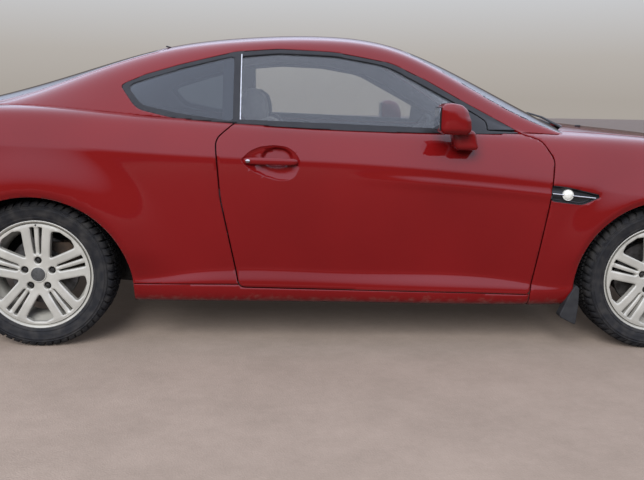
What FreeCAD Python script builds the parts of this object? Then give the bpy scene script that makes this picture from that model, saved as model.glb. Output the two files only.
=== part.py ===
import FreeCAD
import Part
import math
import os
import time
START = time.time()
from FreeCAD import Vector

# Two-door coupe car with a rear hatch, built as an assembly of its real panels, glass, running gear and seats.
# Millimetres. +X is the car's front, +Y its left side, +Z up. The origin is on the ground under the middle.

# Overall sizes
BODY_LENGTH = 4395.0
WHEELBASE = 2530.0
FRONT_OVERHANG = 915.0
TRACK_HALF = 745.0
FRONT_AXLE_X = BODY_LENGTH / 2 - FRONT_OVERHANG
REAR_AXLE_X = FRONT_AXLE_X - WHEELBASE

# Wheels and tyres
TYRE_RADIUS = 300.0
TYRE_WIDTH = 205.0
RIM_RADIUS = 221.0
RIM_WIDTH = 180.0
RIM_WALL = 8.0
SPOKE_GROUPS = 5
BOLT_CIRCLE_RADIUS = 57.15
BOLT_HOLE_RADIUS = 13.0
NUT_POCKET = 16.0
FACE_OFFSET = 84.0
FACE_DISH = 8.0
SPOKE_DEPTH = 24.0
SPINDLE_RADIUS = 22.0
SPINDLE_CLEARANCE = 0.06
DISC_RADIUS = 140.0
DISC_THICKNESS = 24.0
FRONT_ARCH_RADIUS = 360.0
FRONT_ARCH_Z = 273.0
REAR_ARCH_RADIUS = 386.0
REAR_ARCH_Z = 235.0

# Steering axis, from the ball joint to the strut top
KINGPIN_LOW_Y = 690.0
KINGPIN_LOW_Z = 190.0
KINGPIN_TOP_Y = 560.0
KINGPIN_TOP_Z = 780.0

# Clearances and walls
SHUT_GAP = 7.0
LID_GAP = 10.0
SEAT_GAP = 0.3
SKIN = 10.0
PANEL_WALL = 30.0
SIDE_WALL = 100.0
GLASS_WALL = 5.0
DOOR_BOX_INSET = 24.0

# Hinge pins
PIN_RADIUS = 5.0
PIN_CLEARANCE = 0.06
KNUCKLE_WALL = 4.0
DOOR_PIN_X = 735.0
DOOR_PIN_Y = 850.0
DOOR_PIN_Z = 490.0
DOOR_PIN_LEAN = 0.15
DOOR_HINGE_ZS = (490.0, 716.0)
HOOD_PIN_X = 860.0
HOOD_PIN_Y = 600.0
HOOD_PIN_Z = 866.0
GATE_PIN_X = -776.0
GATE_PIN_Y = 400.0
GATE_PIN_Z = 1247.0

FAR = 3000.0
OUTWARD = Vector(0, 1, 0)


def point(x, y, z):
    return Vector(x, y, z)


def edge(a, b):
    return Part.LineSegment(a, b).toShape()


def arc(a, middle, b):
    return Part.Arc(a, middle, b).toShape()


def loft(wires):
    return Part.makeLoft(wires, True, False)


def box(x0, x1, y0, y1, z0, z1):
    return Part.makeBox(x1 - x0, y1 - y0, z1 - z0, point(x0, y0, z0))


def rod(radius, a, b):
    return Part.makeCylinder(radius, (b - a).Length, a, b - a)


def mirrored(shape):
    return shape.mirror(point(0, 0, 0), OUTWARD)


def both_sides(shape):
    return Part.makeCompound([shape, mirrored(shape)])


def bulged(a, b, bulge, outward):
    return arc(a, (a + b) * 0.5 + outward * bulge, b)


def rounded_wire(corners, place):
    """Closed outline whose corners (a, b, radius) are rounded by tangent arcs; place turns (a, b) into a point."""
    count = len(corners)
    flat = [Vector(a, b, 0) for a, b, r in corners]
    starts, ends, middles = [], [], []
    for i, (a, b, radius) in enumerate(corners):
        here, before, after = flat[i], flat[i - 1], flat[(i + 1) % count]
        to_before = (before - here).normalize()
        to_after = (after - here).normalize()
        half = to_before.getAngle(to_after) / 2
        reach = radius / math.tan(half) if radius else 0.0
        starts.append(here + to_before * reach)
        ends.append(here + to_after * reach)
        inward = (to_before + to_after)
        if radius and inward.Length > 1e-6:
            inward.normalize()
            middles.append(here + inward * (radius / math.sin(half) - radius))
        else:
            middles.append(here)
    edges = []
    for i in range(count):
        if corners[i][2]:
            a, m, b = (place(p.x, p.y) for p in (starts[i], middles[i], ends[i]))
            edges.append(arc(a, m, b))
        nxt = (i + 1) % count
        if (starts[nxt] - ends[i]).Length > 1e-4:
            a, b = (place(p.x, p.y) for p in (ends[i], starts[nxt]))
            edges.append(edge(a, b))
    return Part.Wire(edges)


def grown(wire, amount):
    if not amount:
        return Part.Face(wire)
    return Part.Face(wire).makeOffset2D(amount)


def side_prism(corners, y0, y1, grow=0.0):
    wire = rounded_wire(corners, lambda a, b: point(a, y0, b))
    return grown(wire, grow).extrude(point(0, y1 - y0, 0))


def plan_prism(corners, z0, z1, grow=0.0):
    wire = rounded_wire(corners, lambda a, b: point(a, b, z0))
    return grown(wire, grow).extrude(point(0, 0, z1 - z0))


def front_prism(corners, x0, x1, grow=0.0):
    wire = rounded_wire(corners, lambda a, b: point(x0, a, b))
    return grown(wire, grow).extrude(point(x1 - x0, 0, 0))


# Half sections of the body below the windows, rear to front
# x, sill y z, flare y z, hollow y z, crease y z, belt y z, height on the centreline
LOWER = [
    (-2250, 690, 255, 750, 330, 765, 430, 775, 745, 730, 878, 912),
    (-1800, 800, 205, 848, 310, 856, 430, 862, 800, 795, 932, 955),
    (-1247, 828, 188, 868, 290, 877, 430, 880, 812, 812, 962, 990),
    (-650, 848, 188, 868, 266, 851, 345, 869, 790, 806, 928, 985),
    (0, 850, 187, 868, 256, 848, 318, 868, 766, 804, 899, 975),
    (700, 850, 181, 868, 250, 851, 292, 869, 708, 806, 889, 945),
    (1282, 830, 182, 871, 290, 877, 420, 880, 648, 800, 866, 896),
    (1800, 780, 200, 832, 300, 838, 430, 830, 590, 720, 775, 822),
    (2250, 660, 235, 720, 310, 725, 430, 715, 520, 580, 600, 660),
]

# Plan outlines that round the tail and the nose, low to high: z, and how far each stands back from the body's ends
ENDS = [
    (100, 67.5, 87.5),
    (300, 17.5, 17.5),
    (430, 6.5, 3.5),
    (560, 8.5, 11.5),
    (700, 29.5, 62.5),
    (1100, 97.5, 137.5),
]

# Half sections of the roof and glass, rear to front
# x, base y, side y z, edge y z, height on the centreline
UPPER = [
    (-1780, 785, 700, 925, 610, 944, 952),
    (-1442, 803, 700, 945, 590, 975, 1050),
    (-1100, 806, 692, 1012, 585, 1090, 1155),
    (-788, 806, 674, 1110, 582, 1192, 1240),
    (-450, 808, 664, 1195, 588, 1243, 1286),
    (-100, 808, 662, 1207, 588, 1256, 1300),
    (200, 808, 672, 1150, 612, 1212, 1268),
    (600, 806, 728, 935, 672, 1014, 1112),
    (1000, 798, 770, 852, 740, 850, 912),
]
UPPER_BASE_Z = 850.0


def lower_wire(row, inset):
    x, sy, sz, fy, fz, hy, hz, cy, cz, by, bz, tz = row
    half = [
        point(x, sy - inset, sz + inset),
        point(x, fy - inset, fz + inset * 0.4),
        point(x, hy - inset, hz + inset * 0.2),
        point(x, cy - inset, cz),
        point(x, by - inset, bz - inset),
    ]
    other = [point(x, -p.y, p.z) for p in half]
    edges = [
        edge(other[0], half[0]),
        edge(half[0], half[1]),
        edge(half[1], half[2]),
        bulged(half[2], half[3], 6, OUTWARD),
        bulged(half[3], half[4], 6, OUTWARD),
        arc(half[4], point(x, 0, tz - inset), other[4]),
        bulged(other[4], other[3], 6, -OUTWARD),
        bulged(other[3], other[2], 6, -OUTWARD),
        edge(other[2], other[1]),
        edge(other[1], other[0]),
    ]
    return Part.Wire(edges)


def plan_wire(z, tail, nose, inset):
    tail, nose = tail + inset, nose - inset
    side = 960 - inset
    rear = [point(tail, 0, z), point(tail + 32, 430, z), point(tail + 130, 700 - inset, z)]
    rear += [point(tail + 280, 850 - inset, z), point(tail + 520, side, z)]
    front = [point(nose, 0, z), point(nose - 52, 400, z), point(nose - 190, 660 - inset, z)]
    front += [point(nose - 380, 830 - inset, z), point(nose - 640, side, z)]
    edges = []
    for run in (rear, front):
        flipped = [point(p.x, -p.y, p.z) for p in run]
        edges += [arc(run[0], run[1], run[2]), arc(run[2], run[3], run[4])]
        edges += [arc(flipped[0], flipped[1], flipped[2]), arc(flipped[2], flipped[3], flipped[4])]
    edges.append(edge(rear[4], front[4]))
    edges.append(edge(point(rear[4].x, -side, z), point(front[4].x, -side, z)))
    return Part.Wire(Part.__sortEdges__(edges))


def lower_body(inset):
    body = loft([lower_wire(row, inset) for row in LOWER])
    half = BODY_LENGTH / 2
    ends = loft([plan_wire(z, tuck_rear - half, half - tuck_front, inset) for z, tuck_rear, tuck_front in ENDS])
    return body.common(ends)


def upper_wire(row, inset):
    x, base, sy, sz, ey, ez, tz = row
    if inset and row is UPPER[0]:
        x -= inset
    if inset and row is UPPER[-1]:
        x += inset
    half = [
        point(x, base - inset, UPPER_BASE_Z - inset),
        point(x, sy - inset, sz - inset * 0.4),
        point(x, ey - inset * 0.4, ez - inset),
    ]
    other = [point(x, -p.y, p.z) for p in half]
    edges = [
        edge(other[0], half[0]),
        bulged(half[0], half[1], 7, OUTWARD),
        bulged(half[1], half[2], 9, Vector(0, 0.7, 0.7)),
        arc(half[2], point(x, 0, tz - inset), other[2]),
        bulged(other[2], other[1], 9, Vector(0, -0.7, 0.7)),
        bulged(other[1], other[0], 7, -OUTWARD),
    ]
    return Part.Wire(edges)


def upper_body(inset):
    return loft([upper_wire(row, inset) for row in UPPER])


def whole_body(inset):
    return lower_body(inset).fuse(upper_body(inset))


# Shut lines and openings. Side outlines are x, z, corner radius.
DOOR = [
    (-452, 1000, 0), (-452, 926, 0), (-536, 852, 60), (-516, 620, 500), (-442, 262, 30), (500, 244, 0),
    (744, 238, 12), (802, 620, 300), (818, 790, 60), (770, 866, 60), (688, 892, 0), (688, 1000, 0),
]
DOOR_WINDOW = [
    (-462, 870, 0), (-462, 1193, 6), (-290, 1208, 200), (-60, 1206, 500), (160, 1166, 300), (500, 990, 0),
    (690, 889, 0), (430, 860, 0),
]
QUARTER_WINDOW = [
    (-482, 905, 0), (-482, 1190, 10), (-690, 1140, 300), (-830, 1096, 100), (-922, 1058, 14), (-850, 966, 90),
    (-690, 938, 200),
]
# Plan outlines are x, y, corner radius.
WINDSCREEN = [
    (265, -545, 50), (1010, -760, 30), (1010, 760, 30), (265, 545, 50),
]
HOOD = [
    (880, -650, 20), (1020, -330, 600), (1020, 330, 600), (880, 650, 20), (1500, 636, 300), (1880, 560, 60),
    (2040, 420, 120), (2085, 150, 500), (2085, -150, 500), (2040, -420, 120), (1880, -560, 60),
    (1500, -636, 300),
]
GATE = [
    (-785, -556, 30), (-785, 556, 30), (-1442, 572, 400), (-1800, 600, 300), (-2400, 600, 0), (-2400, -600, 0),
    (-1800, -600, 300), (-1442, -572, 400),
]
GATE_GLASS = [
    (-805, -520, 30), (-805, 520, 30), (-1640, 545, 60), (-1660, 0, 0), (-1640, -545, 60),
]
# Rear and front outlines are y, z, corner radius.
GATE_BACK = [(-600, 1200, 0), (-600, 880, 30), (-470, 850, 60), (-450, 690, 40), (450, 690, 40), (470, 850, 60),
             (600, 880, 30), (600, 1200, 0)]
TAIL_LAMP = [(460, 704, 10), (482, 852, 30), (608, 884, 20), (900, 872, 20), (900, 744, 60), (720, 704, 60)]
BUMPER_REAR = [(-1560, 60, 0), (-1560, 560, 0), (-1660, 585, 40), (-1960, 700, 60), (-2400, 700, 0), (-2400, 60, 0)]
BUMPER_FRONT = [(1560, 60, 0), (1560, 500, 0), (1660, 545, 40), (1880, 600, 60), (2400, 650, 0), (2400, 60, 0)]
HEAD_LAMP = [(1650, 740, 20), (1900, 610, 60), (2180, 560, 30), (2180, 640, 30), (1960, 730, 120), (1720, 790, 30)]


def save(name, shape):
    os.makedirs("parts", exist_ok=True)
    print(round(time.time() - START), end=" ")
    solids = shape.Solids
    if not solids:
        raise RuntimeError(name + " has no solid")
    shape = solids[0] if len(solids) == 1 else Part.makeCompound(solids)
    shape.exportStep("parts/" + name + ".step")
    size = shape.BoundBox
    print(name, len(solids), shape.isValid(), round(shape.Volume / 1e6, 2), round(size.XMin), round(size.XMax),
          round(size.YMin), round(size.YMax), round(size.ZMin), round(size.ZMax))


def save_pair(name, shape):
    save(name + "_left", shape)
    save(name + "_right", mirrored(shape))


def arch(x, z, radius, y0, y1):
    return rod(radius, point(x, y0, z), point(x, y1, z))


class Shells:
    """Outer forms of the body and the walls that every panel is cut from."""

    def __init__(self):
        self.low = lower_body(0)
        self.up = upper_body(0)
        self.outer = self.low.fuse(self.up)
        low_panel = lower_body(PANEL_WALL)
        up_panel = upper_body(PANEL_WALL)
        self.panel = self.outer.cut(low_panel.fuse(up_panel))
        self.low_panel = self.low.cut(low_panel)
        self.low_core = lower_body(PANEL_WALL + SEAT_GAP)
        above = self.up.cut(self.low)
        self.up_panel = above.cut(up_panel)
        self.low_inner = lower_body(SKIN + SEAT_GAP)
        self.skin = self.low.cut(lower_body(SKIN))
        self.side = self.low.cut(lower_body(SIDE_WALL))
        self.up_glass = above.cut(upper_body(GLASS_WALL))


def gate_region(grow=0.0):
    lid = plan_prism(GATE, 880, 1400, grow)
    back = front_prism(GATE_BACK, -2400, -1940, grow)
    return lid.fuse(back)


def hood_region(grow=0.0):
    return plan_prism(HOOD, 600, 1000, grow)


def tail_lamp_region(grow=0.0):
    return front_prism(TAIL_LAMP, -2400, -1990 + grow, grow)


def head_lamp_region(grow=0.0):
    return side_prism(HEAD_LAMP, 440 - grow, 1000, grow)


def front_bumper_region(grow=0.0):
    low = side_prism(BUMPER_FRONT, -1000, 1000, grow)
    middle = box(2000, 2400, -440 + SEAT_GAP, 440 - SEAT_GAP, 500, 720)
    return low.fuse(middle)


def rear_bumper_region(grow=0.0):
    return side_prism(BUMPER_REAR, -1000, 1000, grow)


def body_side(shells):
    wall = shells.side.common(box(-2400, 734, 700, 1000, 100, 1000)).cut(box(670, 800, 600, 1000, 860, 1000))
    shelf = shells.low_panel.common(box(-2400, -1000, 560, 702, 840, 1100))
    post = box(828, 905, 735, 1000, 192, 850).cut(box(828, 905, 799.7, 1000, 600, 704)).common(shells.low_inner)
    foot = shells.low_inner.common(box(725, 905, 760, 1000, 192, 230))
    side = wall.multiFuse([shelf, post, foot])
    side = side.cut(side_prism(DOOR, 0, 1000, SHUT_GAP))
    side = side.cut(arch(REAR_AXLE_X, REAR_ARCH_Z, REAR_ARCH_RADIUS, 600, 1000))
    side = side.cut(gate_region(SHUT_GAP)).cut(rear_bumper_region(SEAT_GAP)).cut(tail_lamp_region(SEAT_GAP))
    pads = [box(x, x + 70, 770, 815, 176, 200) for x in (-640, 560)]
    side = side.multiFuse(pads)
    brackets = []
    for z in DOOR_HINGE_ZS:
        x = door_pin(z).x
        web = box(x - 6, x + 3, 788, DOOR_PIN_Y, z - 8, z)
        leg = box(x - 6, 835, 786, 800, z - 8, z + 22)
        pin = rod(PIN_RADIUS, door_pin(z - 8), door_pin(z + 34))
        brackets += [web, leg, pin]
    return side.multiFuse(brackets)


def fender(shells):
    reach = box(742, 2000, 657, 1000, 170, 1000).fuse(box(690, 760, 657, 1000, 862, 1000))
    wing = shells.skin.common(reach)
    wing = wing.cut(box(700, 2000, 600, 800, 100, 400))
    wing = wing.cut(side_prism(DOOR, 0, 1000, SHUT_GAP)).cut(hood_region(SHUT_GAP))
    wing = wing.cut(front_bumper_region(SEAT_GAP)).cut(head_lamp_region(SEAT_GAP))
    wing = wing.cut(arch(FRONT_AXLE_X, FRONT_ARCH_Z, FRONT_ARCH_RADIUS, 600, 1000))
    return wing.cut(side_prism(VENT, 600, 1000))


VENT = [(790, 694, 14), (802, 626, 14), (930, 612, 60), (1020, 652, 10), (870, 684, 120)]


def side_vent(shells):
    block = shells.low.common(side_prism(VENT, 800, 1000, -SEAT_GAP)).cut(shells.low_core)
    block = block.cut(side_prism(VENT, 852, 1000, -7)).cut(side_prism(DOOR, 0, 1000, SHUT_GAP))
    lamp = rod(24, point(864, 840, 652), point(864, 872, 652))
    bar = box(870, 1000, 848, 866, 640, 656).common(side_prism(VENT, 800, 1000, -5))
    return block.multiFuse([lamp, bar])


def door_pin(z):
    return point(DOOR_PIN_X + DOOR_PIN_LEAN * (z - DOOR_PIN_Z), DOOR_PIN_Y, z)


def door(shells):
    outline = side_prism(DOOR, 700, 1000)
    skin = shells.skin.common(box(-700, 900, 706, 1000, 200, 1000)).common(outline)
    inner = side_prism(DOOR, 706, 1000, -DOOR_BOX_INSET).common(box(-700, 700, 706, 1000, 200, 1000))
    panel = skin.fuse(shells.side.common(inner))
    eyes, bores = [], []
    for z in DOOR_HINGE_ZS:
        eyes.append(rod(PIN_RADIUS + KNUCKLE_WALL, door_pin(z + 3), door_pin(z + 30)))
        eyes.append(box(690, door_pin(z).x, DOOR_PIN_Y - 8, DOOR_PIN_Y + 6, z + 4, z + 28))
        bores.append(rod(PIN_RADIUS + PIN_CLEARANCE, door_pin(z - 40), door_pin(z + 60)))
    panel = panel.multiFuse(eyes)
    for bore in bores:
        panel = panel.cut(bore)
    bowl = side_prism(HANDLE_BOWL, HANDLE_BOWL_Y, 1000).fuse(side_prism(HANDLE_BAR, HANDLE_BOWL_Y, 1000, 5))
    return panel.cut(bowl)


HANDLE_BOWL = [(-432, 776, 12), (-330, 836, 60), (-206, 786, 30), (-270, 700, 60), (-370, 722, 40)]
HANDLE_BOWL_Y = 852.0
HANDLE_BAR = [(-428, 756, 13), (-428, 788, 13), (-216, 784, 13), (-216, 756, 13)]


def door_fittings(shells):
    bar = side_prism(HANDLE_BAR, 864, 880)
    feet = [box(-424, -396, HANDLE_BOWL_Y + SEAT_GAP, 866, 760, 784),
            box(-248, -222, HANDLE_BOWL_Y + SEAT_GAP, 866, 760, 780)]
    handle = bar.multiFuse(feet)
    housing = side_prism(MIRROR_SIDE, 872, 1010)
    housing = housing.common(plan_prism(MIRROR_PLAN, 860, 1040))
    foot = front_prism(MIRROR_FOOT, 402, 500).cut(shells.low)
    return Part.makeCompound([handle, housing.fuse(foot)])


MIRROR_SIDE = [(326, 890, 14), (323, 985, 30), (360, 1012, 30), (420, 1000, 30), (458, 972, 30), (452, 900, 14)]
MIRROR_PLAN = [(300, 872, 10), (300, 1010, 10), (410, 1010, 50), (465, 960, 60), (465, 872, 20)]
MIRROR_FOOT = [(790, 806, 0), (880, 820, 10), (925, 880, 10), (925, 915, 0), (790, 915, 0)]


def roof_frame(shells):
    frame = shells.up_panel.cut(plan_prism(WINDSCREEN, 800, 1400))
    frame = frame.cut(gate_region(SHUT_GAP))
    pillar = shells.up.cut(shells.low).cut(upper_body(62)).common(upper_body(12)).common(
        box(-530, -450, -1000, 1000, 850, 1225))
    for side in (1, -1):
        window = side_prism(DOOR_WINDOW, 600 * side, 1000 * side, SHUT_GAP)
        quarter = side_prism(QUARTER_WINDOW, 600 * side, 1000 * side, 0)
        frame = frame.cut(window).cut(quarter)
        frame = frame.cut(box(600, 690, 600, 800, 850, 906) if side == 1 else box(600, 690, -800, -600, 850, 906))
        pillar = pillar.cut(side_prism(DOOR, 600 * side, 1000 * side, SHUT_GAP))
    frame = frame.cut(box(-1900, -1600, -1000, 1000, 800, 1100)).fuse(pillar)
    hinges = []
    for y in (GATE_PIN_Y, -GATE_PIN_Y):
        block = box(GATE_PIN_X - 7, -730, y - 6, y + 6, 1205, GATE_PIN_Z + 7)
        block = block.cut(box(GATE_PIN_X - 10, GATE_PIN_X + 9, y - 10, y + 10, 1200, GATE_PIN_Z - 9))
        pin = rod(PIN_RADIUS, point(GATE_PIN_X, y - 6, GATE_PIN_Z), point(GATE_PIN_X, y + 30, GATE_PIN_Z))
        hinges += [block, pin]
    return frame.multiFuse(hinges)


def gate(shells):
    lid = shells.panel.common(gate_region())
    lid = lid.cut(plan_prism(GATE_GLASS, 960, 1400))
    eyes = []
    for y in (GATE_PIN_Y, -GATE_PIN_Y):
        tube = rod(PIN_RADIUS + KNUCKLE_WALL, point(GATE_PIN_X, y + 6.3, GATE_PIN_Z),
                   point(GATE_PIN_X, y + 26, GATE_PIN_Z))
        foot = box(-800, GATE_PIN_X, y + 6.3, y + 26, 1196, GATE_PIN_Z)
        foot = foot.cut(box(-790, GATE_PIN_X + 20, y, y + 30, 1100, GATE_PIN_Z - 9))
        eyes += [tube, foot]
    lid = lid.multiFuse(eyes)
    for y in (GATE_PIN_Y, -GATE_PIN_Y):
        lid = lid.cut(rod(PIN_RADIUS + PIN_CLEARANCE, point(GATE_PIN_X, y - 20, GATE_PIN_Z),
                          point(GATE_PIN_X, y + 50, GATE_PIN_Z)))
    return lid


def hood(shells):
    lid = shells.panel.common(hood_region())
    arms = []
    for y in (HOOD_PIN_Y, -HOOD_PIN_Y):
        tube = rod(PIN_RADIUS + KNUCKLE_WALL, point(HOOD_PIN_X, y, HOOD_PIN_Z), point(HOOD_PIN_X, y + 12, HOOD_PIN_Z))
        bar = box(HOOD_PIN_X, 960, y, y + 12, HOOD_PIN_Z - 9, HOOD_PIN_Z + 14)
        arms += [tube, bar]
    lid = lid.multiFuse(arms)
    for y in (HOOD_PIN_Y, -HOOD_PIN_Y):
        lid = lid.cut(rod(PIN_RADIUS + PIN_CLEARANCE, point(HOOD_PIN_X, y - 20, HOOD_PIN_Z),
                          point(HOOD_PIN_X, y + 40, HOOD_PIN_Z)))
    return lid


def cowl(shells):
    shelf = box(790, 1040, -650, 650, 800, 846)
    pieces = []
    for y in (HOOD_PIN_Y, -HOOD_PIN_Y):
        pieces.append(box(HOOD_PIN_X - 8, HOOD_PIN_X + 8, y - 8, y - SEAT_GAP, 840, HOOD_PIN_Z + 6))
        pieces.append(rod(PIN_RADIUS, point(HOOD_PIN_X, y - 4, HOOD_PIN_Z), point(HOOD_PIN_X, y + 14, HOOD_PIN_Z)))
    wall = box(905, 925, -650, 650, 236, 805)
    return shelf.multiFuse(pieces + [wall])


def front_bumper(shells):
    skin = shells.low_panel.common(front_bumper_region())
    skin = skin.cut(hood_region(LID_GAP)).cut(head_lamp_region(SEAT_GAP)).cut(mirrored(head_lamp_region(SEAT_GAP)))
    for side in (1, -1):
        skin = skin.cut(arch(FRONT_AXLE_X, FRONT_ARCH_Z, FRONT_ARCH_RADIUS, 420 * side, 1000 * side))
    skin = skin.cut(front_prism(UPPER_GRILLE, 2000, 2400)).cut(front_prism(LOWER_GRILLE, 2000, 2400))
    boss = rod(18, point(2060, TOW_Y, TOW_Z), point(2142, TOW_Y, TOW_Z))
    skin = skin.fuse(boss)
    return skin.cut(rod(8, point(2090, TOW_Y, TOW_Z), point(2300, TOW_Y, TOW_Z)))


UPPER_GRILLE = [(-330, 585, 15), (-360, 635, 20), (360, 635, 20), (330, 585, 15)]
LOWER_GRILLE = [(-330, 270, 30), (-400, 400, 40), (400, 400, 40), (330, 270, 30)]
TOW_Y = -440.0
TOW_Z = 500.0


def grille(shells):
    bars = [box(2030, 2200, -390, 390, z, z + 12) for z in (290, 318, 346, 374, 604)]
    posts = [box(2030, 2060, y - 10, y + 10, 262, 640) for y in (-250, 0, 250)]
    frame = [box(2030, 2060, -420, 420, 640, 652), box(2030, 2060, -420, 420, 255, 267)]
    lattice = bars[0].multiFuse(bars[1:] + posts + frame)
    return lattice.common(shells.low_core)


def rear_bumper(shells):
    skin = shells.low_panel.common(rear_bumper_region())
    skin = skin.cut(gate_region(SHUT_GAP)).cut(tail_lamp_region(SEAT_GAP)).cut(mirrored(tail_lamp_region(SEAT_GAP)))
    for side in (1, -1):
        skin = skin.cut(arch(REAR_AXLE_X, REAR_ARCH_Z, REAR_ARCH_RADIUS, 560 * side, 1000 * side))
    skin = skin.cut(front_prism(TAILPIPE_CUTOUT, -2400, -2000))
    return skin.cut(box(-2040, -1000, -720, 720, 0, 300))


TAILPIPE_CUTOUT = [(-352, 100, 0), (-352, 284, 40), (-168, 284, 40), (-168, 100, 0)]


def lamps(shells):
    head = shells.low_panel.common(head_lamp_region()).cut(hood_region(LID_GAP))
    tail = shells.low_panel.common(tail_lamp_region()).cut(gate_region(SHUT_GAP))
    return both_sides(head), both_sides(tail)


def glazing(shells):
    screen = shells.up_glass.common(plan_prism(WINDSCREEN, 800, 1400, -SEAT_GAP))
    rear = shells.up_glass.common(plan_prism(GATE_GLASS, 960, 1400, -SEAT_GAP))
    quarter = shells.up_glass.common(side_prism(QUARTER_WINDOW, 600, 1000, -SEAT_GAP))
    pane = shells.up_glass.common(side_prism(DOOR_WINDOW, 600, 1000))
    return screen, rear, both_sides(quarter), pane


def revolved(profile, x, z):
    """Solid of revolution about the axle line through x, z; the profile is radius, y."""
    wire = Part.makePolygon([point(x, y, z + r) for r, y in profile + profile[:1]])
    return Part.Face(wire).revolve(point(x, 0, z), point(0, 1, 0), 360)


def polar(x, y, z, radius, degrees):
    a = math.radians(degrees)
    return point(x + radius * math.cos(a), y, z + radius * math.sin(a))


def spoke_cut(x, z, y0, y1, degrees, corners):
    """Prism through the wheel's face; corners are across the radial line, along it, and a corner radius."""
    turn = math.radians(degrees)
    c, s = math.cos(turn), math.sin(turn)
    wire = rounded_wire(corners, lambda a, b: point(x + b * c - a * s, y0, z + b * s + a * c))
    return Part.Face(wire).extrude(point(0, y1 - y0, 0))


# Openings of the wheel's face, across and along the radial line: between two spoke groups, and in a group
WHEEL_WINDOW = [(0, 78, 9), (57, 178, 12), (26, 195, 0), (-26, 195, 0), (-57, 178, 12)]
WHEEL_SLOT = [(9, 195, 0), (25, 191, 0), (15, 86, 0), (7, 80, 0)]


def wheel(x):
    mid, z = TRACK_HALF, TYRE_RADIUS
    out, inn = mid + RIM_WIDTH / 2, mid - RIM_WIDTH / 2
    r = RIM_RADIUS
    wall = RIM_WALL
    well = r - 36
    barrel = revolved([
        (r, out), (r - 16, out - 12), (r - 18, out - 36), (well, out - 56), (well, inn + 40), (r, inn + 7), (r, inn),
        (r - wall, inn), (well - wall, inn + 44), (well - wall, out - 60), (r - 25, out - 34), (r - wall, out),
    ], x, z)
    face_out = mid + FACE_OFFSET
    hub_in = mid - 45
    disc_out = mid - 5
    bore = SPINDLE_RADIUS + SPINDLE_CLEARANCE
    front, back = face_out - FACE_DISH, face_out - FACE_DISH - SPOKE_DEPTH
    face = revolved([
        (0.5, front), (r - 20, front), (r - 20, back), (80, back), (80, disc_out),
        (DISC_RADIUS, disc_out), (DISC_RADIUS, disc_out - DISC_THICKNESS), (60, disc_out - DISC_THICKNESS),
        (60, hub_in), (bore, hub_in), (bore, back), (0.5, back),
    ], x, z)
    cuts = []
    step = 360.0 / SPOKE_GROUPS
    y0, y1 = back - 5, front + 5
    other_slot = [(-a, b, radius) for a, b, radius in WHEEL_SLOT[::-1]]
    for i in range(SPOKE_GROUPS):
        axis = 90 + i * step
        cuts.append(spoke_cut(x, z, y0, y1, axis + step / 2, WHEEL_WINDOW))
        cuts.append(spoke_cut(x, z, y0, y1, axis, WHEEL_SLOT))
        cuts.append(spoke_cut(x, z, y0, y1, axis, other_slot))
        centre = polar(x, front - NUT_POCKET, z, BOLT_CIRCLE_RADIUS, axis)
        cuts.append(rod(BOLT_HOLE_RADIUS, centre, centre + point(0, 60, 0)))
    solid = barrel.fuse(face)
    return solid.cut(Part.makeCompound(cuts))


def tyre(x):
    mid, z = TRACK_HALF, TYRE_RADIUS
    half, r, bead = TYRE_WIDTH / 2, TYRE_RADIUS, RIM_RADIUS + SEAT_GAP
    return revolved([
        (r, mid - half + 20), (r, mid + half - 20), (r - 40, mid + half),
        (bead, mid + RIM_WIDTH / 2 - 2), (bead, mid - RIM_WIDTH / 2 + 2), (r - 40, mid - half),
    ], x, z)


def kingpin(z):
    slope = (KINGPIN_TOP_Y - KINGPIN_LOW_Y) / (KINGPIN_TOP_Z - KINGPIN_LOW_Z)
    return point(FRONT_AXLE_X, KINGPIN_LOW_Y + slope * (z - KINGPIN_LOW_Z), z)


def caliper(x):
    mid, z = TRACK_HALF, TYRE_RADIUS
    ring = rod(DISC_RADIUS + 24, point(x, mid - 62, z), point(x, mid + 18, z))
    ring = ring.cut(rod(DISC_RADIUS - 42, point(x, mid - 80, z), point(x, mid + 40, z)))
    ring = ring.cut(rod(DISC_RADIUS + 7, point(x, mid - 5 - DISC_THICKNESS - 6, z), point(x, mid + 1, z)))
    return ring.common(box(x + 40, x + 200, mid - 80, mid + 40, z - 20, z + 120))


def hub_carrier(x, y_in):
    z = TYRE_RADIUS
    spindle = rod(SPINDLE_RADIUS, point(x, y_in, z), point(x, TRACK_HALF + 40, z))
    block = rod(50, point(x, y_in, z), point(x, TRACK_HALF - 45 - SEAT_GAP, z))
    bridge = box(x - 20, x + 130, y_in, TRACK_HALF - 56, z - 18, z + 60)
    bridge = bridge.cut(rod(DISC_RADIUS - 30, point(x + 400, y_in, z), point(x + 400, TRACK_HALF, z)))
    return spindle.multiFuse([block, bridge, caliper(x)])


def front_knuckle():
    carrier = hub_carrier(FRONT_AXLE_X, 650)
    ball = rod(18, kingpin(KINGPIN_LOW_Z - 14.1), kingpin(KINGPIN_LOW_Z + 16))
    leg = rod(13, kingpin(KINGPIN_LOW_Z), kingpin(300))
    strut = rod(20, kingpin(300), kingpin(KINGPIN_TOP_Z - SEAT_GAP - 4.5))
    spring = rod(56, kingpin(628), kingpin(KINGPIN_TOP_Z - 26))
    return carrier.multiFuse([ball, leg, strut, spring])


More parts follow.
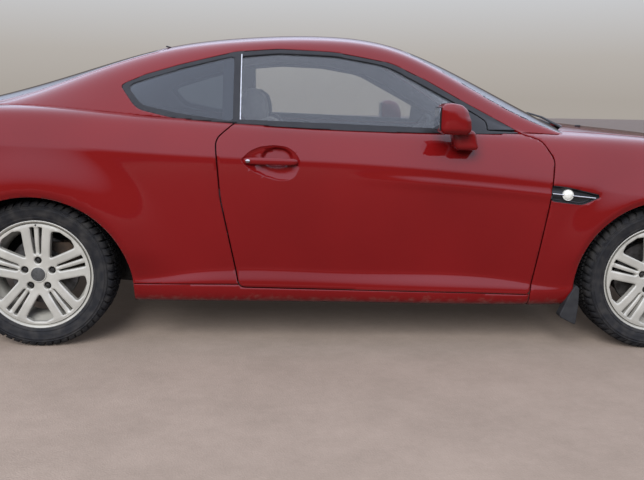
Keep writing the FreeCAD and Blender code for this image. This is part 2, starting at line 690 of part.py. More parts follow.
def front_subframe():
    cross = box(1130, 1350, -370, 370, 196, 246)
    legs = []
    for side in (1, -1):
        a = kingpin(KINGPIN_LOW_Z)
        cup = rod(22, point(a.x, a.y * side, 150), point(a.x, a.y * side, 172 - SEAT_GAP))
        arm = loft([
            Part.makePolygon([point(1250, 350 * side, 200), point(1315, 350 * side, 200),
                              point(1315, 350 * side, 236), point(1250, 350 * side, 236), point(1250, 350 * side, 200)]),
            Part.makePolygon([point(1262, 690 * side, 152), point(1303, 690 * side, 152),
                              point(1303, 690 * side, 168), point(1262, 690 * side, 168), point(1262, 690 * side, 152)]),
        ])
        arm = arm.cut(rod(21, point(a.x, a.y * side, 172 - SEAT_GAP), point(a.x, a.y * side, 300)))
        rail = box(926, 1700, 330 * side - 30, 330 * side + 30, 246, 300)
        legs += [cup, arm, rail]
    return cross.multiFuse(legs)


def front_wheelhouses(shells):
    x, z = FRONT_AXLE_X, FRONT_ARCH_Z
    inner = FRONT_ARCH_RADIUS + 2
    ring = arch(x, z, inner + 6, 462, 880).cut(arch(x, z, inner, 470, 900))
    ring = ring.common(box(x - 400, x + 400, 400, 900, 250, 700))
    ring = ring.cut(arch(x, z, 240, 400, 500))
    tower = rod(92, point(x, 575, 600), point(x, 575, 790)).cut(rod(84, point(x, 575, 590), point(x, 575, 780)))
    tower = tower.cut(arch(x, z, inner, 400, 900))
    ring = ring.cut(rod(84, point(x, 575, 400), point(x, 575, 780)))
    shape = ring.fuse(tower)
    shape = shape.cut(box(900, 925.3, 400, 650.3, 0, 900))
    back = shape.common(box(800, 1550, 0, 1000, 0, 1000)).common(shells.low_inner)
    front = shape.common(box(1550, 1700, 0, 1000, 0, 1000)).common(shells.low_core)
    return both_sides(back.fuse(front))


def rear_wheelhouses():
    x, z = REAR_AXLE_X, REAR_ARCH_Z
    outer = REAR_ARCH_RADIUS + 10
    ring = arch(x, z, outer, 592, 699.7).cut(arch(x, z, outer - 8, 600, 800))
    ring = ring.common(box(x - 500, x + 500, 500, 800, 330.3, 800))
    ring = ring.cut(arch(x, TYRE_RADIUS, 90, 500, 650))
    return both_sides(ring)


def rear_suspension():
    x = REAR_AXLE_X
    pieces = []
    for side in (1, -1):
        carrier = hub_carrier(x, 612)
        strut = rod(16, point(x, 621, 300), point(x, 621, REAR_ARCH_Z + REAR_ARCH_RADIUS + 2 - SEAT_GAP - 0.4))
        pieces.append(carrier.fuse(strut) if side == 1 else mirrored(carrier.fuse(strut)))
        for dx in (-70, 70):
            pieces.append(rod(12, point(x + dx, 300 * side, 250), point(x + dx * 0.4, 655 * side, 275)))
    cross = box(x - 100, x + 100, -320, 320, 225, 329.7)
    return cross.multiFuse(pieces)


def floor_pan():
    main = box(-700, 925, -699.7, 699.7, 215, 235.7)
    step = box(-720, -700, -699.7, 699.7, 215, 350)
    boot = box(-2060, -700, -480, 480, 330, 350).fuse(box(-1960, -700, -590, 590, 330, 350))
    flanks = box(-860, -700, -699.7, 699.7, 330, 350)
    rear = box(-2080, -2060, -480, 480, 330, 689)
    tunnel = box(-700, 904, -115, 115, 230, 335)
    pan = main.multiFuse([step, boot, flanks, rear, tunnel])
    return pan.cut(box(-730, 1000, -100, 100, 200, 320))


def dashboard():
    profile = [(560, 560, 0), (540, 780, 60), (600, 876, 60), (789.7, 880, 20), (789.7, 799.7, 0), (904.7, 799.7, 0),
               (904.7, 560, 0)]
    return side_prism(profile, -690, 690)


def seat(y0, y1):
    cushion = side_prism([(-200, 250, 0), (-200, 440, 60), (300, 480, 60), (330, 420, 40), (300, 250, 0)], y0, y1)
    back = side_prism([(-210, 330, 30), (-410, 880, 36), (-330, 925, 36), (-120, 430, 30)], y0, y1)
    mid = (y0 + y1) / 2
    rest = side_prism([(-440, 900, 20), (-470, 1040, 30), (-390, 1060, 30), (-350, 900, 20)], mid - 120, mid + 120)
    base = box(-150, 250, y0 + 60, y1 - 60, 236, 260)
    return cushion.multiFuse([back, rest, base])


def rear_seat():
    cushion = side_prism([(-800, 351, 0), (-800, 470, 40), (-720, 480, 60), (-470, 490, 60), (-430, 450, 40),
                          (-430, 236, 0), (-698, 236, 0), (-698, 351, 0)], -560, 560)
    back = side_prism([(-830, 351, 0), (-1000, 880, 40), (-900, 900, 40), (-720, 470, 40), (-720, 351, 0)], -560, 560)
    return cushion.fuse(back).cut(box(-760, -400, -115.3, 115.3, 200, 335.3))


def wheel_rim(centre, axis):
    """Steering wheel rim: a ring of short straight grips with an eight-sided section."""
    across = axis.cross(Vector(0, 1, 0)).normalize()
    place = lambda radius, rise: centre + across * radius + axis * rise
    ring = [place(180 + 13 * math.cos(math.radians(22.5 + 45 * k)), 13 * math.sin(math.radians(22.5 + 45 * k)))
            for k in range(8)]
    return Part.Face(Part.makePolygon(ring + ring[:1])).revolve(centre, axis, 360)


def steering_wheel():
    centre = point(440, 370, 760)
    axis = Vector(math.cos(math.radians(24)), 0, -math.sin(math.radians(24)))
    rim = wheel_rim(centre, axis)
    boss = rod(55, centre - axis * 10, centre + axis * 25)
    across = rod(11, centre + point(0, -178, 0), centre + point(0, 178, 0))
    down = Vector(-math.sin(math.radians(24)), 0, -math.cos(math.radians(24)))
    lower = rod(11, centre, centre + down * 178)
    column = rod(28, centre, centre + axis * 140)
    return rim.multiFuse([boss, across, lower, column]).cut(dashboard())


def engine():
    return box(1010, 1560, -330, 300, 300.3, 790)


def exhaust():
    pipe = rod(22, point(1000, 0, 200), point(-1800, 0, 200))
    tank = side_prism([(-1950, 168, 40), (-1950, 329.7, 40), (-1740, 329.7, 40), (-1740, 168, 40)], -380, 380)
    tips = [rod(34, point(-1900, y, 236), point(-2175, y, 228)) for y in (-300, -220)]
    hanger = box(-200, -160, -8, 8, 200, 319.7)
    return pipe.multiFuse([tank, hanger] + tips)


def mud_flaps():
    flap = side_prism([(906, 249.7, 0), (925, 249.7, 0), (927, 126, 4), (868, 172, 8), (868, 191.7, 0), (906, 191.7, 0)],
                      700, 799.7)
    return both_sides(flap)


def build():
    shells = Shells()
    save("roof_and_pillars", roof_frame(shells))
    save_pair("body_side", body_side(shells))
    save_pair("fender", fender(shells))
    save_pair("door", door(shells))
    save_pair("door_fittings", door_fittings(shells))
    save("hood", hood(shells))
    save("tailgate", gate(shells))
    save("cowl_and_bulkhead", cowl(shells))
    save("front_bumper", front_bumper(shells))
    save("grille", grille(shells))
    save("rear_bumper", rear_bumper(shells))
    head, tail = lamps(shells)
    save("headlamps", head)
    save("tail_lamps", tail)
    screen, rear, quarter, pane = glazing(shells)
    save("windscreen", screen)
    save("tailgate_glass", rear)
    save("quarter_windows", quarter)
    save_pair("door_glass", pane)
    save("side_vents", both_sides(side_vent(shells)))
    save("floor_pan", floor_pan())
    save("front_wheelhouses", front_wheelhouses(shells))
    save("rear_wheelhouses", rear_wheelhouses())
    save("front_subframe", front_subframe())
    save("rear_suspension", rear_suspension())
    save_pair("front_knuckle", front_knuckle())
    save("engine_block", engine())
    save("exhaust", exhaust())
    save("mud_flaps", mud_flaps())
    save("dashboard", dashboard())
    save("steering_wheel", steering_wheel())
    save_pair("front_seat", seat(130, 620))
    save("rear_seat", rear_seat())
    for place, x in (("front", FRONT_AXLE_X), ("rear", REAR_AXLE_X)):
        save_pair(place + "_wheel", wheel(x))
        save_pair(place + "_tyre", tyre(x))


build()
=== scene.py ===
import math

import bpy
import numpy as np
from mathutils import Matrix, Quaternion, Vector


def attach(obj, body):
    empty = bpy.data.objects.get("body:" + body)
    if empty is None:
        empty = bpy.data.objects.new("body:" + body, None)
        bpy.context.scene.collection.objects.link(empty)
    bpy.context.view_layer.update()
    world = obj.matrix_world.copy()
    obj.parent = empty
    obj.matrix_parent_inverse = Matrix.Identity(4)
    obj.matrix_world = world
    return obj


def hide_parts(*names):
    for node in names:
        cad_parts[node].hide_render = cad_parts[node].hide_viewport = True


print("loading the frame")
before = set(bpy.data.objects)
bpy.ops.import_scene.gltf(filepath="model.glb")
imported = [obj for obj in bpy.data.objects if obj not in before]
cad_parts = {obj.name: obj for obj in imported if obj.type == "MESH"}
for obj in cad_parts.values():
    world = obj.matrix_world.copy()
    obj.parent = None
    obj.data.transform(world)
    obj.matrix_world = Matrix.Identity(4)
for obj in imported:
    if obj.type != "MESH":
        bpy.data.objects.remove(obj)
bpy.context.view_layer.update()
mm = 0.001

# Body form. Each row is a half section: x, then y and z of the sill, flare, hollow, crease and belt, and the
# height at the middle. The other rows say how the ends, the arches and the flanks are rounded
bodyForm = {
    "rows": [
        (-2250, 690, 255, 750, 330, 765, 430, 775, 745, 730, 878, 912),
        (-1800, 800, 205, 848, 310, 856, 430, 862, 802, 795, 932, 955),
        (-1247, 828, 188, 868, 290, 877, 430, 880, 822, 812, 962, 990),
        (-880, 842, 188, 868, 270, 858, 297, 873, 801, 809, 941, 987),
        (-650, 848, 188, 868, 266, 850, 318, 869, 788, 806, 928, 985),
        (0, 850, 187, 868, 256, 848, 325, 868, 766, 804, 899, 975),
        (700, 850, 181, 868, 250, 851, 292, 869, 708, 806, 889, 945),
        (885, 846, 182, 868, 252, 863, 272, 872, 689, 804, 882, 931),
        (1282, 830, 182, 871, 290, 877, 420, 880, 648, 800, 866, 896),
        (1800, 780, 200, 832, 300, 838, 430, 830, 590, 720, 775, 822),
        (2250, 660, 235, 720, 310, 725, 430, 715, 520, 580, 600, 660),
    ],
    "tailX": (-2140, -2182, -2191, -2176, -2136),
    "noseX": (2120, 2180, 2194, 2190, 2150),
    "tailRound": (430, 2.6),
    "noseRound": (640, 2.3),
    "columns": (46, 250, 60),
    "samples": (4, 7, 7, 34, 14, 40),
    "bulges": (0, 1, 0, 7, 9),
    "crease": 0.25,
    "sharp": 0.05,
    "soften": 14,
    "haunch": {"front": (14.0, 150.0), "rear": (24.0, 235.0)},
    "archTuck": (11.0, 24.0),
    "archBand": (700, 60, 270, 150),
    "swell": (6.0, 17.0, 60.0, 48.0),
    "swellSpan": (-60, 880, 400, 1000, 200),
    "bottomWidth": 0.86,
    "flareSharp": 0.2,
}
arches = {"front": (1282.5, 273.0, 360.0), "rear": (-1247.5, 235.0, 386.0)}  # x, z, radius

# Roof form. Each row: x, y of the base, y and z of the side and of the edge, and the height at the middle
roofForm = {
    "rows": [
        (-1780, 785, 700, 925, 610, 944, 952),
        (-1442, 803, 700, 945, 590, 975, 1050),
        (-1100, 806, 692, 1012, 585, 1090, 1155),
        (-788, 806, 674, 1110, 582, 1192, 1240),
        (-450, 808, 664, 1195, 588, 1243, 1286),
        (-100, 808, 662, 1207, 588, 1256, 1300),
        (200, 808, 672, 1150, 612, 1212, 1268),
        (600, 806, 728, 935, 672, 1014, 1112),
        (1000, 798, 770, 850, 740, 846, 900),
    ],
    "baseZ": 850.0,
    "columns": 216,
    "samples": (34, 12, 44),
    "bulges": (7, 9),
    "soften": 10,
}

# Outlines in the side view (x, z, corner radius) and in plan (x, y, corner radius)
outlines = {
    "door": [(-452, 1000, 0), (-452, 926, 0), (-536, 852, 60), (-516, 620, 500), (-442, 262, 30), (500, 244, 0),
             (744, 238, 12), (802, 620, 300), (818, 790, 60), (770, 866, 60), (688, 892, 0), (688, 1000, 0)],
    "windowBand": [(-930, 1056, 10), (-856, 962, 90), (-690, 925, 200), (-500, 900, 60), (-480, 860, 0),
                   (760, 860, 0), (700, 893, 6), (500, 996, 300), (318, 1094, 300), (170, 1163, 200),
                   (-60, 1203, 500), (-290, 1212, 200), (-466, 1198, 200), (-690, 1142, 300), (-830, 1100, 100)],
    "doorGlass": [(-444, 860, 0), (-444, 1178, 10), (-290, 1193, 200), (-60, 1186, 500), (150, 1152, 300),
                  (500, 975, 300), (560, 938, 30), (560, 860, 0)],
    "doorPane": [(-462, 850, 0), (-462, 1193, 6), (-290, 1208, 200), (-60, 1200, 500), (160, 1164, 300),
                 (500, 990, 300), (572, 952, 0), (572, 850, 0)],
    "quarterGlass": [(-471, 922, 10), (-471, 1180, 14), (-690, 1124, 300), (-826, 1082, 100), (-900, 1056, 20),
                     (-838, 980, 90), (-690, 950, 200)],
    "quarterPane": [(-462, 903, 0), (-462, 1196, 10), (-690, 1140, 300), (-830, 1096, 100), (-922, 1058, 14),
                    (-850, 966, 90), (-690, 938, 200)],
    "frontBumper": [(1560, 60, 0), (1560, 500, 0), (1660, 545, 40), (1880, 600, 60), (2400, 650, 0), (2400, 60, 0)],
    "rearBumper": [(-1560, 60, 0), (-1560, 560, 0), (-1660, 585, 40), (-1960, 700, 60), (-2400, 700, 0),
                   (-2400, 60, 0)],
    "headLamp": [(1650, 740, 20), (1900, 610, 60), (2180, 560, 30), (2180, 640, 30), (1960, 730, 120),
                 (1720, 790, 30)],
    "vent": [(798, 692, 12), (804, 626, 12), (930, 612, 60), (1016, 652, 10), (870, 684, 120)],
    "handleBowl": [(-437, 774, 9), (-402, 809, 99), (-363, 826, 99), (-309, 833, 99), (-255, 828, 99),
                   (-224, 808, 99), (-204, 780, 99), (-201, 755, 99), (-220, 712, 99), (-245, 696, 99),
                   (-286, 694, 99), (-333, 706, 99), (-379, 725, 99), (-415, 747, 99)],
    "beltLine": [(-453, 860, 0), (-453, 928, 0), (-200, 922, 300), (100, 913, 300), (450, 903, 300), (686, 893, 0),
                 (686, 850, 0)],
    "windscreen": [(262, -552, 50), (700, -690, 400), (1060, -760, 30), (1060, 760, 30), (700, 690, 400),
                   (262, 552, 50)],
    "hood": [(880, -650, 20), (1020, -330, 600), (1020, 330, 600), (880, 650, 20), (1500, 636, 300),
             (1880, 560, 60), (2040, 420, 120), (2085, 150, 500), (2085, -150, 500), (2040, -420, 120),
             (1880, -560, 60), (1500, -636, 300)],
    "gate": [(-785, -556, 30), (-785, 556, 30), (-1442, 572, 400), (-1800, 600, 300), (-2400, 600, 0),
             (-2400, -600, 0), (-1800, -600, 300), (-1442, -572, 400)],
    "gateGlass": [(-815, -510, 30), (-815, 510, 30), (-1625, 532, 60), (-1650, 0, 0), (-1625, -532, 60)],
    "gateBack": [(-600, 1200, 0), (-600, 880, 30), (-470, 850, 60), (-450, 690, 40), (450, 690, 40), (470, 850, 60),
                 (600, 880, 30), (600, 1200, 0)],
    "tailLamp": [(460, 704, 10), (482, 852, 30), (608, 884, 20), (900, 872, 20), (900, 744, 60), (720, 704, 60)],
    "upperGrille": [(-330, 585, 15), (-360, 635, 20), (360, 635, 20), (330, 585, 15)],
    "lowerGrille": [(-330, 270, 30), (-400, 400, 40), (400, 400, 40), (330, 270, 30)],
    "fogHole": [(470, 330, 20), (455, 400, 20), (640, 420, 30), (650, 350, 30)],
}


def cubicThrough(xs, ys):
    # natural cubic spline through the table's points
    xs, ys = np.array(xs, float), np.array(ys, float)
    n, h = len(xs), np.diff(xs)
    system, right = np.eye(n), np.zeros(n)
    for i in range(1, n - 1):
        system[i, i - 1:i + 2] = h[i - 1], 2 * (h[i - 1] + h[i]), h[i]
        right[i] = 6 * ((ys[i + 1] - ys[i]) / h[i] - (ys[i] - ys[i - 1]) / h[i - 1])
    bend = np.linalg.solve(system, right)

    def value(x):
        x = np.asarray(x, float)
        i = np.clip(np.searchsorted(xs, x) - 1, 0, n - 2)
        a, b = (xs[i + 1] - x) / h[i], (x - xs[i]) / h[i]
        return a * ys[i] + b * ys[i + 1] + ((a ** 3 - a) * bend[i] + (b ** 3 - b) * bend[i + 1]) * h[i] ** 2 / 6

    return value


def smoothStep(t):
    t = np.clip(t, 0, 1)
    return t * t * (3 - 2 * t)


def unit(vectors, least=1e-9):
    return vectors / np.maximum(np.linalg.norm(vectors, axis=-1, keepdims=True), least)


def gridNormals(grid):
    return unit(np.cross(np.gradient(grid, axis=0), np.gradient(grid, axis=1)))


def gridFaces(rows, cols):
    i = np.arange(rows * cols).reshape(rows, cols)
    a, b, c, d = i[:-1, :-1].ravel(), i[1:, :-1].ravel(), i[1:, 1:].ravel(), i[:-1, 1:].ravel()
    return np.concatenate([np.stack([a, b, c], 1), np.stack([a, c, d], 1)])


def triangleEdges(faces):
    return np.concatenate([faces[:, [0, 1]], faces[:, [1, 2]], faces[:, [2, 0]]])


def rimOf(faces, count):
    # edges that only one triangle has, and the quads that join them to a copy of the sheet
    edges = triangleEdges(faces)
    code, reverse = edges[:, 0] * count + edges[:, 1], edges[:, 1] * count + edges[:, 0]
    rim = edges[~np.isin(code, reverse)]
    return rim, np.stack([rim[:, 1], rim[:, 0], rim[:, 0] + count, rim[:, 1] + count], 1)


def softened(grid, weights, times):
    # rounds the edges between the rows of a section
    for _ in range(times):
        middle = (grid[:, :-2] + grid[:, 2:]) / 2
        grid[:, 1:-1] += (middle - grid[:, 1:-1]) * weights[1:-1, None]
    return grid


def sectionStrip(a, b, out, count, bulge):
    # one band of the sections from line a to line b, pushed out most in its middle
    t = np.linspace(0, 1, count, endpoint=False)
    strip = a[:, None] * (1 - t)[None, :, None] + b[:, None] * t[None, :, None]
    return strip + unit(out)[:, None] * (4 * bulge * t * (1 - t))[None, :, None]


def sectionTop(edge, rise, count):
    # last band of the sections, from the edge to the middle of the car
    t = np.linspace(0, 1, count + 1)
    top = np.repeat(edge[:, None], len(t), axis=1)
    top[:, :, 1] = edge[:, 1:2] * (1 - t)[None]
    top[:, :, 2] = edge[:, 2:3] + rise[:, None] * (1 - (1 - t) ** 2)[None]
    return top


def bodySheet():
    rows = np.array(bodyForm["rows"], float)
    xs = rows[:, 0]
    tailLength, tailPower = bodyForm["tailRound"]
    noseLength, nosePower = bodyForm["noseRound"]
    tailCount, sideCount, noseCount = bodyForm["columns"]
    tailAngle = np.linspace(math.pi / 2, 0, tailCount, endpoint=False)
    noseAngle = np.linspace(0, math.pi / 2, noseCount + 1)[1:]
    spread = np.linspace(0, 1, sideCount)
    curves = []
    for k in range(5):
        tail, nose = bodyForm["tailX"][k], bodyForm["noseX"][k]
        sideX = (tail + tailLength) * (1 - spread) + (nose - noseLength) * spread
        x = np.concatenate([tail + tailLength - tailLength * np.sin(tailAngle) ** (2 / tailPower), sideX,
                            nose - noseLength + noseLength * np.sin(noseAngle) ** (2 / nosePower)])
        share = np.concatenate([np.cos(tailAngle) ** (2 / tailPower), np.ones(sideCount),
                                np.maximum(np.cos(noseAngle), 0) ** (2 / nosePower)])
        share[-1], share[0] = 0.0, 0.0
        y = cubicThrough(xs, rows[:, 1 + 2 * k])(x) * share
        z = cubicThrough(xs, rows[:, 2 + 2 * k])(x)
        curves.append(np.stack([x, y, z], 1))
    belt = curves[4]
    crown = (cubicThrough(xs, rows[:, 11])(belt[:, 0]) - belt[:, 2]) * share ** 2
    lines = [curves[0] * (1, bodyForm["bottomWidth"], 1)] + curves
    parts = []
    for k, (a, b) in enumerate(zip(lines, curves)):
        along = np.gradient((a + b) / 2, axis=0)
        out = np.stack([-along[:, 1], along[:, 0], np.zeros(len(a))], 1)
        parts.append(sectionStrip(a, b, out, bodyForm["samples"][k], bodyForm["bulges"][k]))
    parts.append(sectionTop(belt, crown, bodyForm["samples"][5]))
    grid = np.concatenate(parts, axis=1)
    weights = np.full(grid.shape[1], 0.5)
    starts = np.cumsum((0,) + bodyForm["samples"])
    weights[starts[4] - 1:starts[4] + 2] = bodyForm["crease"]
    weights[starts[4]] = bodyForm["sharp"]
    weights[starts[3]] = bodyForm["sharp"]
    weights[starts[1]] = bodyForm["flareSharp"]
    grid = softened(grid, weights, bodyForm["soften"])
    tuck, tuckWidth = bodyForm["archTuck"]
    bandY, overY, bandZ, overZ = bodyForm["archBand"]
    change = np.zeros(grid.shape[:2])
    for end, (x, z, radius) in arches.items():
        push, width = bodyForm["haunch"][end]
        reach = np.hypot(grid[:, :, 0] - x, grid[:, :, 2] - z) - radius
        side = smoothStep((grid[:, :, 1] - bandY) / overY) * smoothStep((grid[:, :, 2] - bandZ) / overZ)
        change += (push * smoothStep(1 - reach / width) - tuck * smoothStep(1 - reach / tuckWidth)) * side
    # a soft swell under the crease of the door, growing forward
    height, spread, rearDrop, frontDrop = bodyForm["swell"]
    start, run, fadeIn, end, fadeOut = bodyForm["swellSpan"]
    share = np.clip((grid[:, :, 0] - start) / run, 0, 1)
    line = cubicThrough(xs, rows[:, 8])(grid[:, :, 0]) - rearDrop + (rearDrop - frontDrop) * share
    fade = smoothStep((grid[:, :, 0] - start) / fadeIn) * smoothStep((end - grid[:, :, 0]) / fadeOut)
    change += height * np.exp(-((grid[:, :, 2] - line) / spread) ** 2) * fade * (grid[:, :, 1] > bandY)
    grid[:, :, 1] += change
    return grid


def roofSheet():
    rows = np.array(roofForm["rows"], float)
    x = np.linspace(rows[0, 0], rows[-1, 0], roofForm["columns"])
    at = [cubicThrough(rows[:, 0], rows[:, k])(x) for k in range(1, 7)]
    base = np.stack([x, at[0], np.full(len(x), roofForm["baseZ"])], 1)
    side, edge = np.stack([x, at[1], at[2]], 1), np.stack([x, at[3], at[4]], 1)
    parts = []
    for k, (a, b) in enumerate(((base, side), (side, edge))):
        along = b - a
        out = np.stack([np.zeros(len(x)), along[:, 2], -along[:, 1]], 1)
        parts.append(sectionStrip(a, b, out, roofForm["samples"][k], roofForm["bulges"][k]))
    parts.append(sectionTop(edge, at[5] - edge[:, 2], roofForm["samples"][2]))
    grid = np.concatenate(parts, axis=1)
    return softened(grid, np.full(grid.shape[1], 0.5), roofForm["soften"])


class Sheet:
    # points, outward normals and triangles of one surface, in millimetres
    def __init__(self, points, normals, faces):
        self.points, self.normals, self.faces = points, normals, faces

    def mirrored(self):
        flip = np.array((1, -1, 1.0))
        return Sheet(self.points * flip, self.normals * flip, self.faces[:, ::-1])

    def joinedWith(self, other):
        points = np.concatenate([self.points, other.points])
        normals = np.concatenate([self.normals, other.normals])
        faces = np.concatenate([self.faces, other.faces + len(self.points)])
        return Sheet(points, normals, faces).welded()

    def welded(self, step=0.02):
        keys = np.round(self.points / step).astype(np.int64)
        _, first, back = np.unique(keys, axis=0, return_index=True, return_inverse=True)
        back = back.ravel()
        normals = np.zeros((len(first), 3))
        np.add.at(normals, back, self.normals)
        faces = back[self.faces]
        good = (faces[:, 0] != faces[:, 1]) & (faces[:, 1] != faces[:, 2]) & (faces[:, 2] != faces[:, 0])
        return Sheet(self.points[first], unit(normals), faces[good])

    def clipped(self, *fields):
        # keeps the part where every field is below zero
        sheet = self
        for field in fields:
            sheet = sheet.clippedOnce(field(sheet.points))
        return sheet

    def clippedOnce(self, values):
        values = np.where(np.abs(values) < 1e-6, 1e-6, values)
        inside = values < 0
        count = inside[self.faces].sum(1)
        kept = self.faces[count == 3]
        cutFaces = []
        for number in (1, 2):
            some = self.faces[count == number]
            lone = inside[some] if number == 1 else ~inside[some]
            turn = lone.argmax(1)
            index = (turn[:, None] + np.arange(3)) % 3
            cutFaces.append(np.take_along_axis(some, index, 1))
        one, two = cutFaces
        edges = np.concatenate([one[:, [0, 1]], one[:, [0, 2]], two[:, [0, 1]], two[:, [0, 2]]])
        if not len(edges):
            return Sheet(self.points, self.normals, kept).tidied()
        unique, back = np.unique(np.sort(edges, axis=1), axis=0, return_inverse=True)
        a, b = unique.T
        t = (values[a] / (values[a] - values[b]))[:, None]
        points = np.concatenate([self.points, self.points[a] * (1 - t) + self.points[b] * t])
        normals = np.concatenate([self.normals, unit(self.normals[a] * (1 - t) + self.normals[b] * t)])
        new = back.ravel() + len(self.points)
        n1, n2 = len(one), len(two)
        ab, ac, pq, pr = new[:n1], new[n1:2 * n1], new[2 * n1:2 * n1 + n2], new[2 * n1 + n2:]
        faces = [kept, np.stack([one[:, 0], ab, ac], 1), np.stack([pq, two[:, 1], two[:, 2]], 1),
                 np.stack([pq, two[:, 2], pr], 1)]
        return Sheet(points, normals, np.concatenate(faces)).tidied()

    def refinedNear(self, field, times=1):
        # splits the triangles where the field is below zero, and fits their neighbours
        sheet = self
        for _ in range(times):
            points, normals, faces = sheet.points, sheet.normals, sheet.faces
            near = field(points) < 0
            edges = np.sort(triangleEdges(faces), axis=1)
            marked = (near[edges[:, 0]] & near[edges[:, 1]]).reshape(3, -1).T
            unique, back = np.unique(edges, axis=0, return_inverse=True)
            middles = back.ravel().reshape(3, -1).T + len(points)
            first, second = unique.T
            count = marked.sum(1)
            result = [faces[count == 0]]
            for number in (1, 2, 3):
                pick = np.nonzero(count == number)[0]
                if not len(pick):
                    continue
                odd = marked[pick] if number == 1 else ~marked[pick]
                turn = odd.argmax(1) if number < 3 else np.zeros(len(pick), int)
                index = (turn[:, None] + np.arange(3)) % 3
                a, b, c = np.take_along_axis(faces[pick], index, 1).T
                m, n, o = np.take_along_axis(middles[pick], index, 1).T
                if number == 1:
                    parts = ((a, m, c), (m, b, c))
                elif number == 2:
                    parts = ((a, b, n), (a, n, o), (o, n, c))
                else:
                    parts = ((a, m, o), (m, b, n), (o, n, c), (m, n, o))
                result += [np.stack(part, 1) for part in parts]
            sheet = Sheet(np.concatenate([points, (points[first] + points[second]) / 2]),
                          np.concatenate([normals, unit(normals[first] + normals[second])]),
                          np.concatenate(result)).tidied()
        return sheet

    def tidied(self):
        used, back = np.unique(self.faces, return_inverse=True)
        return Sheet(self.points[used], self.normals[used], back.reshape(-1, 3))

    def moved(self, distance):
        return Sheet(self.points + self.normals * distance, self.normals, self.faces)


def roundedOutline(corners, step=6.0):
    # polygon of an outline with rounded corners
    count = len(corners)
    flat = np.array([c[:2] for c in corners], float)
    result = []
    for i, (a, b, radius) in enumerate(corners):
        here, before, after = flat[i], flat[i - 1], flat[(i + 1) % count]
        if not radius:
            result.append(here)
            continue
        toBefore, toAfter = before - here, after - here
        lengthBefore, lengthAfter = np.linalg.norm(toBefore), np.linalg.norm(toAfter)
        toBefore, toAfter = toBefore / lengthBefore, toAfter / lengthAfter
        half = math.acos(np.clip(toBefore @ toAfter, -1, 1)) / 2
        reach = min(radius / math.tan(half), 0.49 * lengthBefore, 0.49 * lengthAfter)
        start, end = here + toBefore * reach, here + toAfter * reach
        steps = max(3, int(reach * 2 / step))
        for t in np.linspace(0, 1, steps):
            result.append(start * (1 - t) ** 2 + here * 2 * t * (1 - t) + end * t * t)
    return np.array(result)


def outlineDistance(polygon, a, b):
    # signed distance to a polygon, below zero inside
    points = np.stack([a, b], 1)
    best = np.full(len(points), 1e18)
    inside = np.zeros(len(points), bool)
    for p, q in zip(polygon, np.roll(polygon, -1, axis=0)):
        run = q - p
        size = run @ run
        if size < 1e-12:
            continue
        t = np.clip((points - p) @ run / size, 0, 1)
        gap = points - p - t[:, None] * run
        best = np.minimum(best, (gap * gap).sum(1))
        crosses = (p[1] > points[:, 1]) != (q[1] > points[:, 1])
        edgeA = (q[0] - p[0]) * (points[:, 1] - p[1]) / (q[1] - p[1] if q[1] != p[1] else 1) + p[0]
        inside ^= crosses & (points[:, 0] < edgeA)
    return np.sqrt(best) * np.where(inside, -1, 1)


planes = {"side": (0, 2), "plan": (0, 1), "front": (1, 2)}


def within(name, plane="side", grow=0.0):
    # field that is below zero inside the named outline, grown by an amount
    polygon = roundedOutline(outlines[name])
    a, b = planes[plane]

    def field(points):
        return outlineDistance(polygon, points[:, a], points[:, b]) - grow

    return field


def outside(field):
    return lambda points: -field(points)


def allOf(*fields):
    return lambda points: np.max([f(points) for f in fields], axis=0)


def anyOf(*fields):
    return lambda points: np.min([f(points) for f in fields], axis=0)


def slab(axis, low=-1e5, high=1e5):
    return lambda points: np.maximum(low - points[:, axis], points[:, axis] - high)


def grownBy(field, amount):
    return lambda points: field(points) - amount


def everywhere(points):
    return np.full(len(points), -1.0)


def archField(which):
    x, z, radius = arches[which]
    return lambda points: np.hypot(points[:, 0] - x, points[:, 2] - z) - radius


nowhere = -1e4  # height where a sheet has nothing


def heightMap(grid, low, high, step=8.0):
    # height of a half sheet over the plan, as a table
    xs = np.arange(low, high + step, step)
    ys = np.arange(0, 900 + step, step)
    table = np.full((len(xs), len(ys)), nowhere)
    columnX = grid[:, :, 0].mean(1)
    byColumn = np.full((len(grid), len(ys)), nowhere)
    for i in range(len(grid)):
        y, z = grid[i, ::-1, 1], grid[i, ::-1, 2]
        top = np.argmax(y)
        if top > 1:
            byColumn[i] = np.interp(ys, y[:top + 1], z[:top + 1], right=nowhere)
    for j in range(len(ys)):
        table[:, j] = np.interp(xs, columnX, byColumn[:, j], left=nowhere, right=nowhere)
    return xs, ys, table


def tableAt(lookup, a, b):
    # value between the rows and columns of a table
    rows, columns, table = lookup
    fa = np.clip((np.asarray(a, float) - rows[0]) / (rows[1] - rows[0]), 0, len(rows) - 1.001)
    fb = np.clip((np.asarray(b, float) - columns[0]) / (columns[1] - columns[0]), 0, len(columns) - 1.001)
    i, j = fa.astype(int), fb.astype(int)
    u, v = fa - i, fb - j
    return (table[i, j] * (1 - u) * (1 - v) + table[i + 1, j] * u * (1 - v) + table[i, j + 1] * (1 - u) * v
            + table[i + 1, j + 1] * u * v)


def heightAt(heights, points):
    x, xs = points[:, 0], heights[0]
    return np.where((x < xs[0]) | (x > xs[-1]), nowhere, tableAt(heights, x, np.abs(points[:, 1])))


def heightOver(heights, x, y):
    return float(heightAt(heights, np.array([[x, y, 0.0]]))[0])


